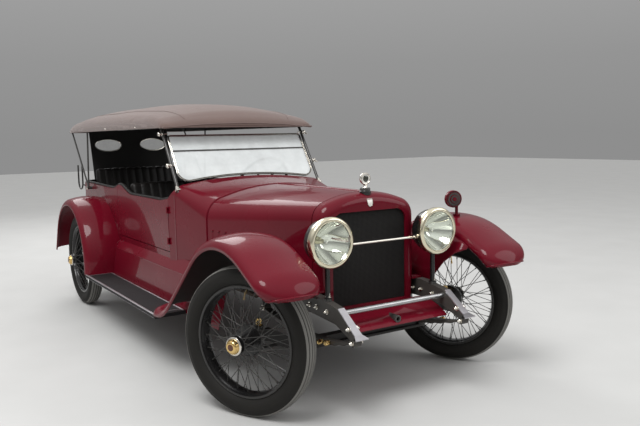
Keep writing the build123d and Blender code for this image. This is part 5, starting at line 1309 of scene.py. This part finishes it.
# Press studs on the cloth's drops and caps on the irons' hubs
STUD = [(0, 0), (0.0085, 0), (0.0085, 0.0012), (0.006, 0.0022), (0.005, 0.005), (0.0025, 0.0062),
        (0, 0.0064)]
IRON_CAP = [(0, 0), (0.0175, 0), (0.0175, 0.003), (0.014, 0.006), (0, 0.007)]
bm = bmesh.new()
for side, _ in SIDES:
    for d in (2085, 2900):
        lathe(bm, STUD, facing((0, side, 0), d, side * 0.6385, 1.59), 18)
    lathe(bm, IRON_CAP, facing((0, side, 0), HUB_D, side * 0.6265, HUB_Z), 24)
piece("top_fasteners", bm, NICKEL)


def studio_world():
    """A soft sky, brighter overhead; stops of height and brightness."""
    stops = ((0, 0.3), (0.1, 0.33), (0.3, 0.45), (0.55, 0.8), (0.8, 1))
    world = bpy.data.worlds.new("studio")
    world.use_nodes = True
    bpy.context.scene.world = world
    nodes, links = world.node_tree.nodes, world.node_tree.links
    coords = nodes.new("ShaderNodeTexCoord")
    split = nodes.new("ShaderNodeSeparateXYZ")
    ramp = nodes.new("ShaderNodeValToRGB")
    links.new(coords.outputs["Generated"], split.inputs["Vector"])
    links.new(split.outputs["Z"], ramp.inputs["Fac"])
    links.new(ramp.outputs["Color"], nodes["Background"].inputs["Color"])
    nodes["Background"].inputs["Strength"].default_value = 0.9
    elements = ramp.color_ramp.elements
    elements[0].position, elements[1].position = stops[0][0], stops[-1][0]
    for position, _ in stops[1:-1]:
        elements.new(position)
    for element, (_, value) in zip(elements, stops):
        element.color = (value, value, value, 1)


def studio_lamp(name, place, aim, power):
    """A round soft lamp, five metres wide."""
    data = bpy.data.lights.new(name, "AREA")
    data.shape = "DISK"
    data.size = 5
    data.energy = power
    lamp = bpy.data.objects.new(name, data)
    bpy.context.collection.objects.link(lamp)
    lamp.location = place
    lamp.rotation_euler = (Vector(aim) - Vector(place)).to_track_quat("-Z", "Y").to_euler()


def photo_camera():
    """The camera fitted to the photograph; angles in radians, focal length in pixels of its width."""
    yaw, pitch, roll = 2.57157, -0.10865, -0.018885
    focal, width, sensor = 705.23, 640, 36
    forward = Vector((math.cos(yaw) * math.cos(pitch), math.sin(yaw) * math.cos(pitch), math.sin(pitch)))
    right = Vector((math.sin(yaw), -math.cos(yaw), 0))
    up = right.cross(forward)
    turned_right = math.cos(roll) * right + math.sin(roll) * up
    turned_up = math.cos(roll) * up - math.sin(roll) * right
    axes = Matrix((turned_right, turned_up, -forward)).transposed().to_4x4()
    data = bpy.data.cameras.new("camera")
    data.sensor_width = sensor
    data.lens = focal * sensor / width
    camera = bpy.data.objects.new("camera", data)
    bpy.context.collection.objects.link(camera)
    camera.matrix_world = Matrix.Translation((FRONT + 3.3688, -2.4317, 1.4956)) @ axes
    bpy.context.scene.camera = camera
    bpy.context.scene.view_settings.view_transform = "Standard"


bpy.ops.mesh.primitive_plane_add(size=60, location=(0, 0, 0))
floor = bpy.context.object
floor.name = "floor"
floor.data.materials.append(pale_floor("floor_pale"))
studio_world()
studio_lamp("key", (3.6, -4.2, 8.8), (0, 0, 0.6), 620)
studio_lamp("fill", (6.5, 5, 4.5), (0, 0, 0.6), 110)
studio_lamp("rear", (-6.5, 0.5, 6), (0, 0, 0.8), 220)
photo_camera()
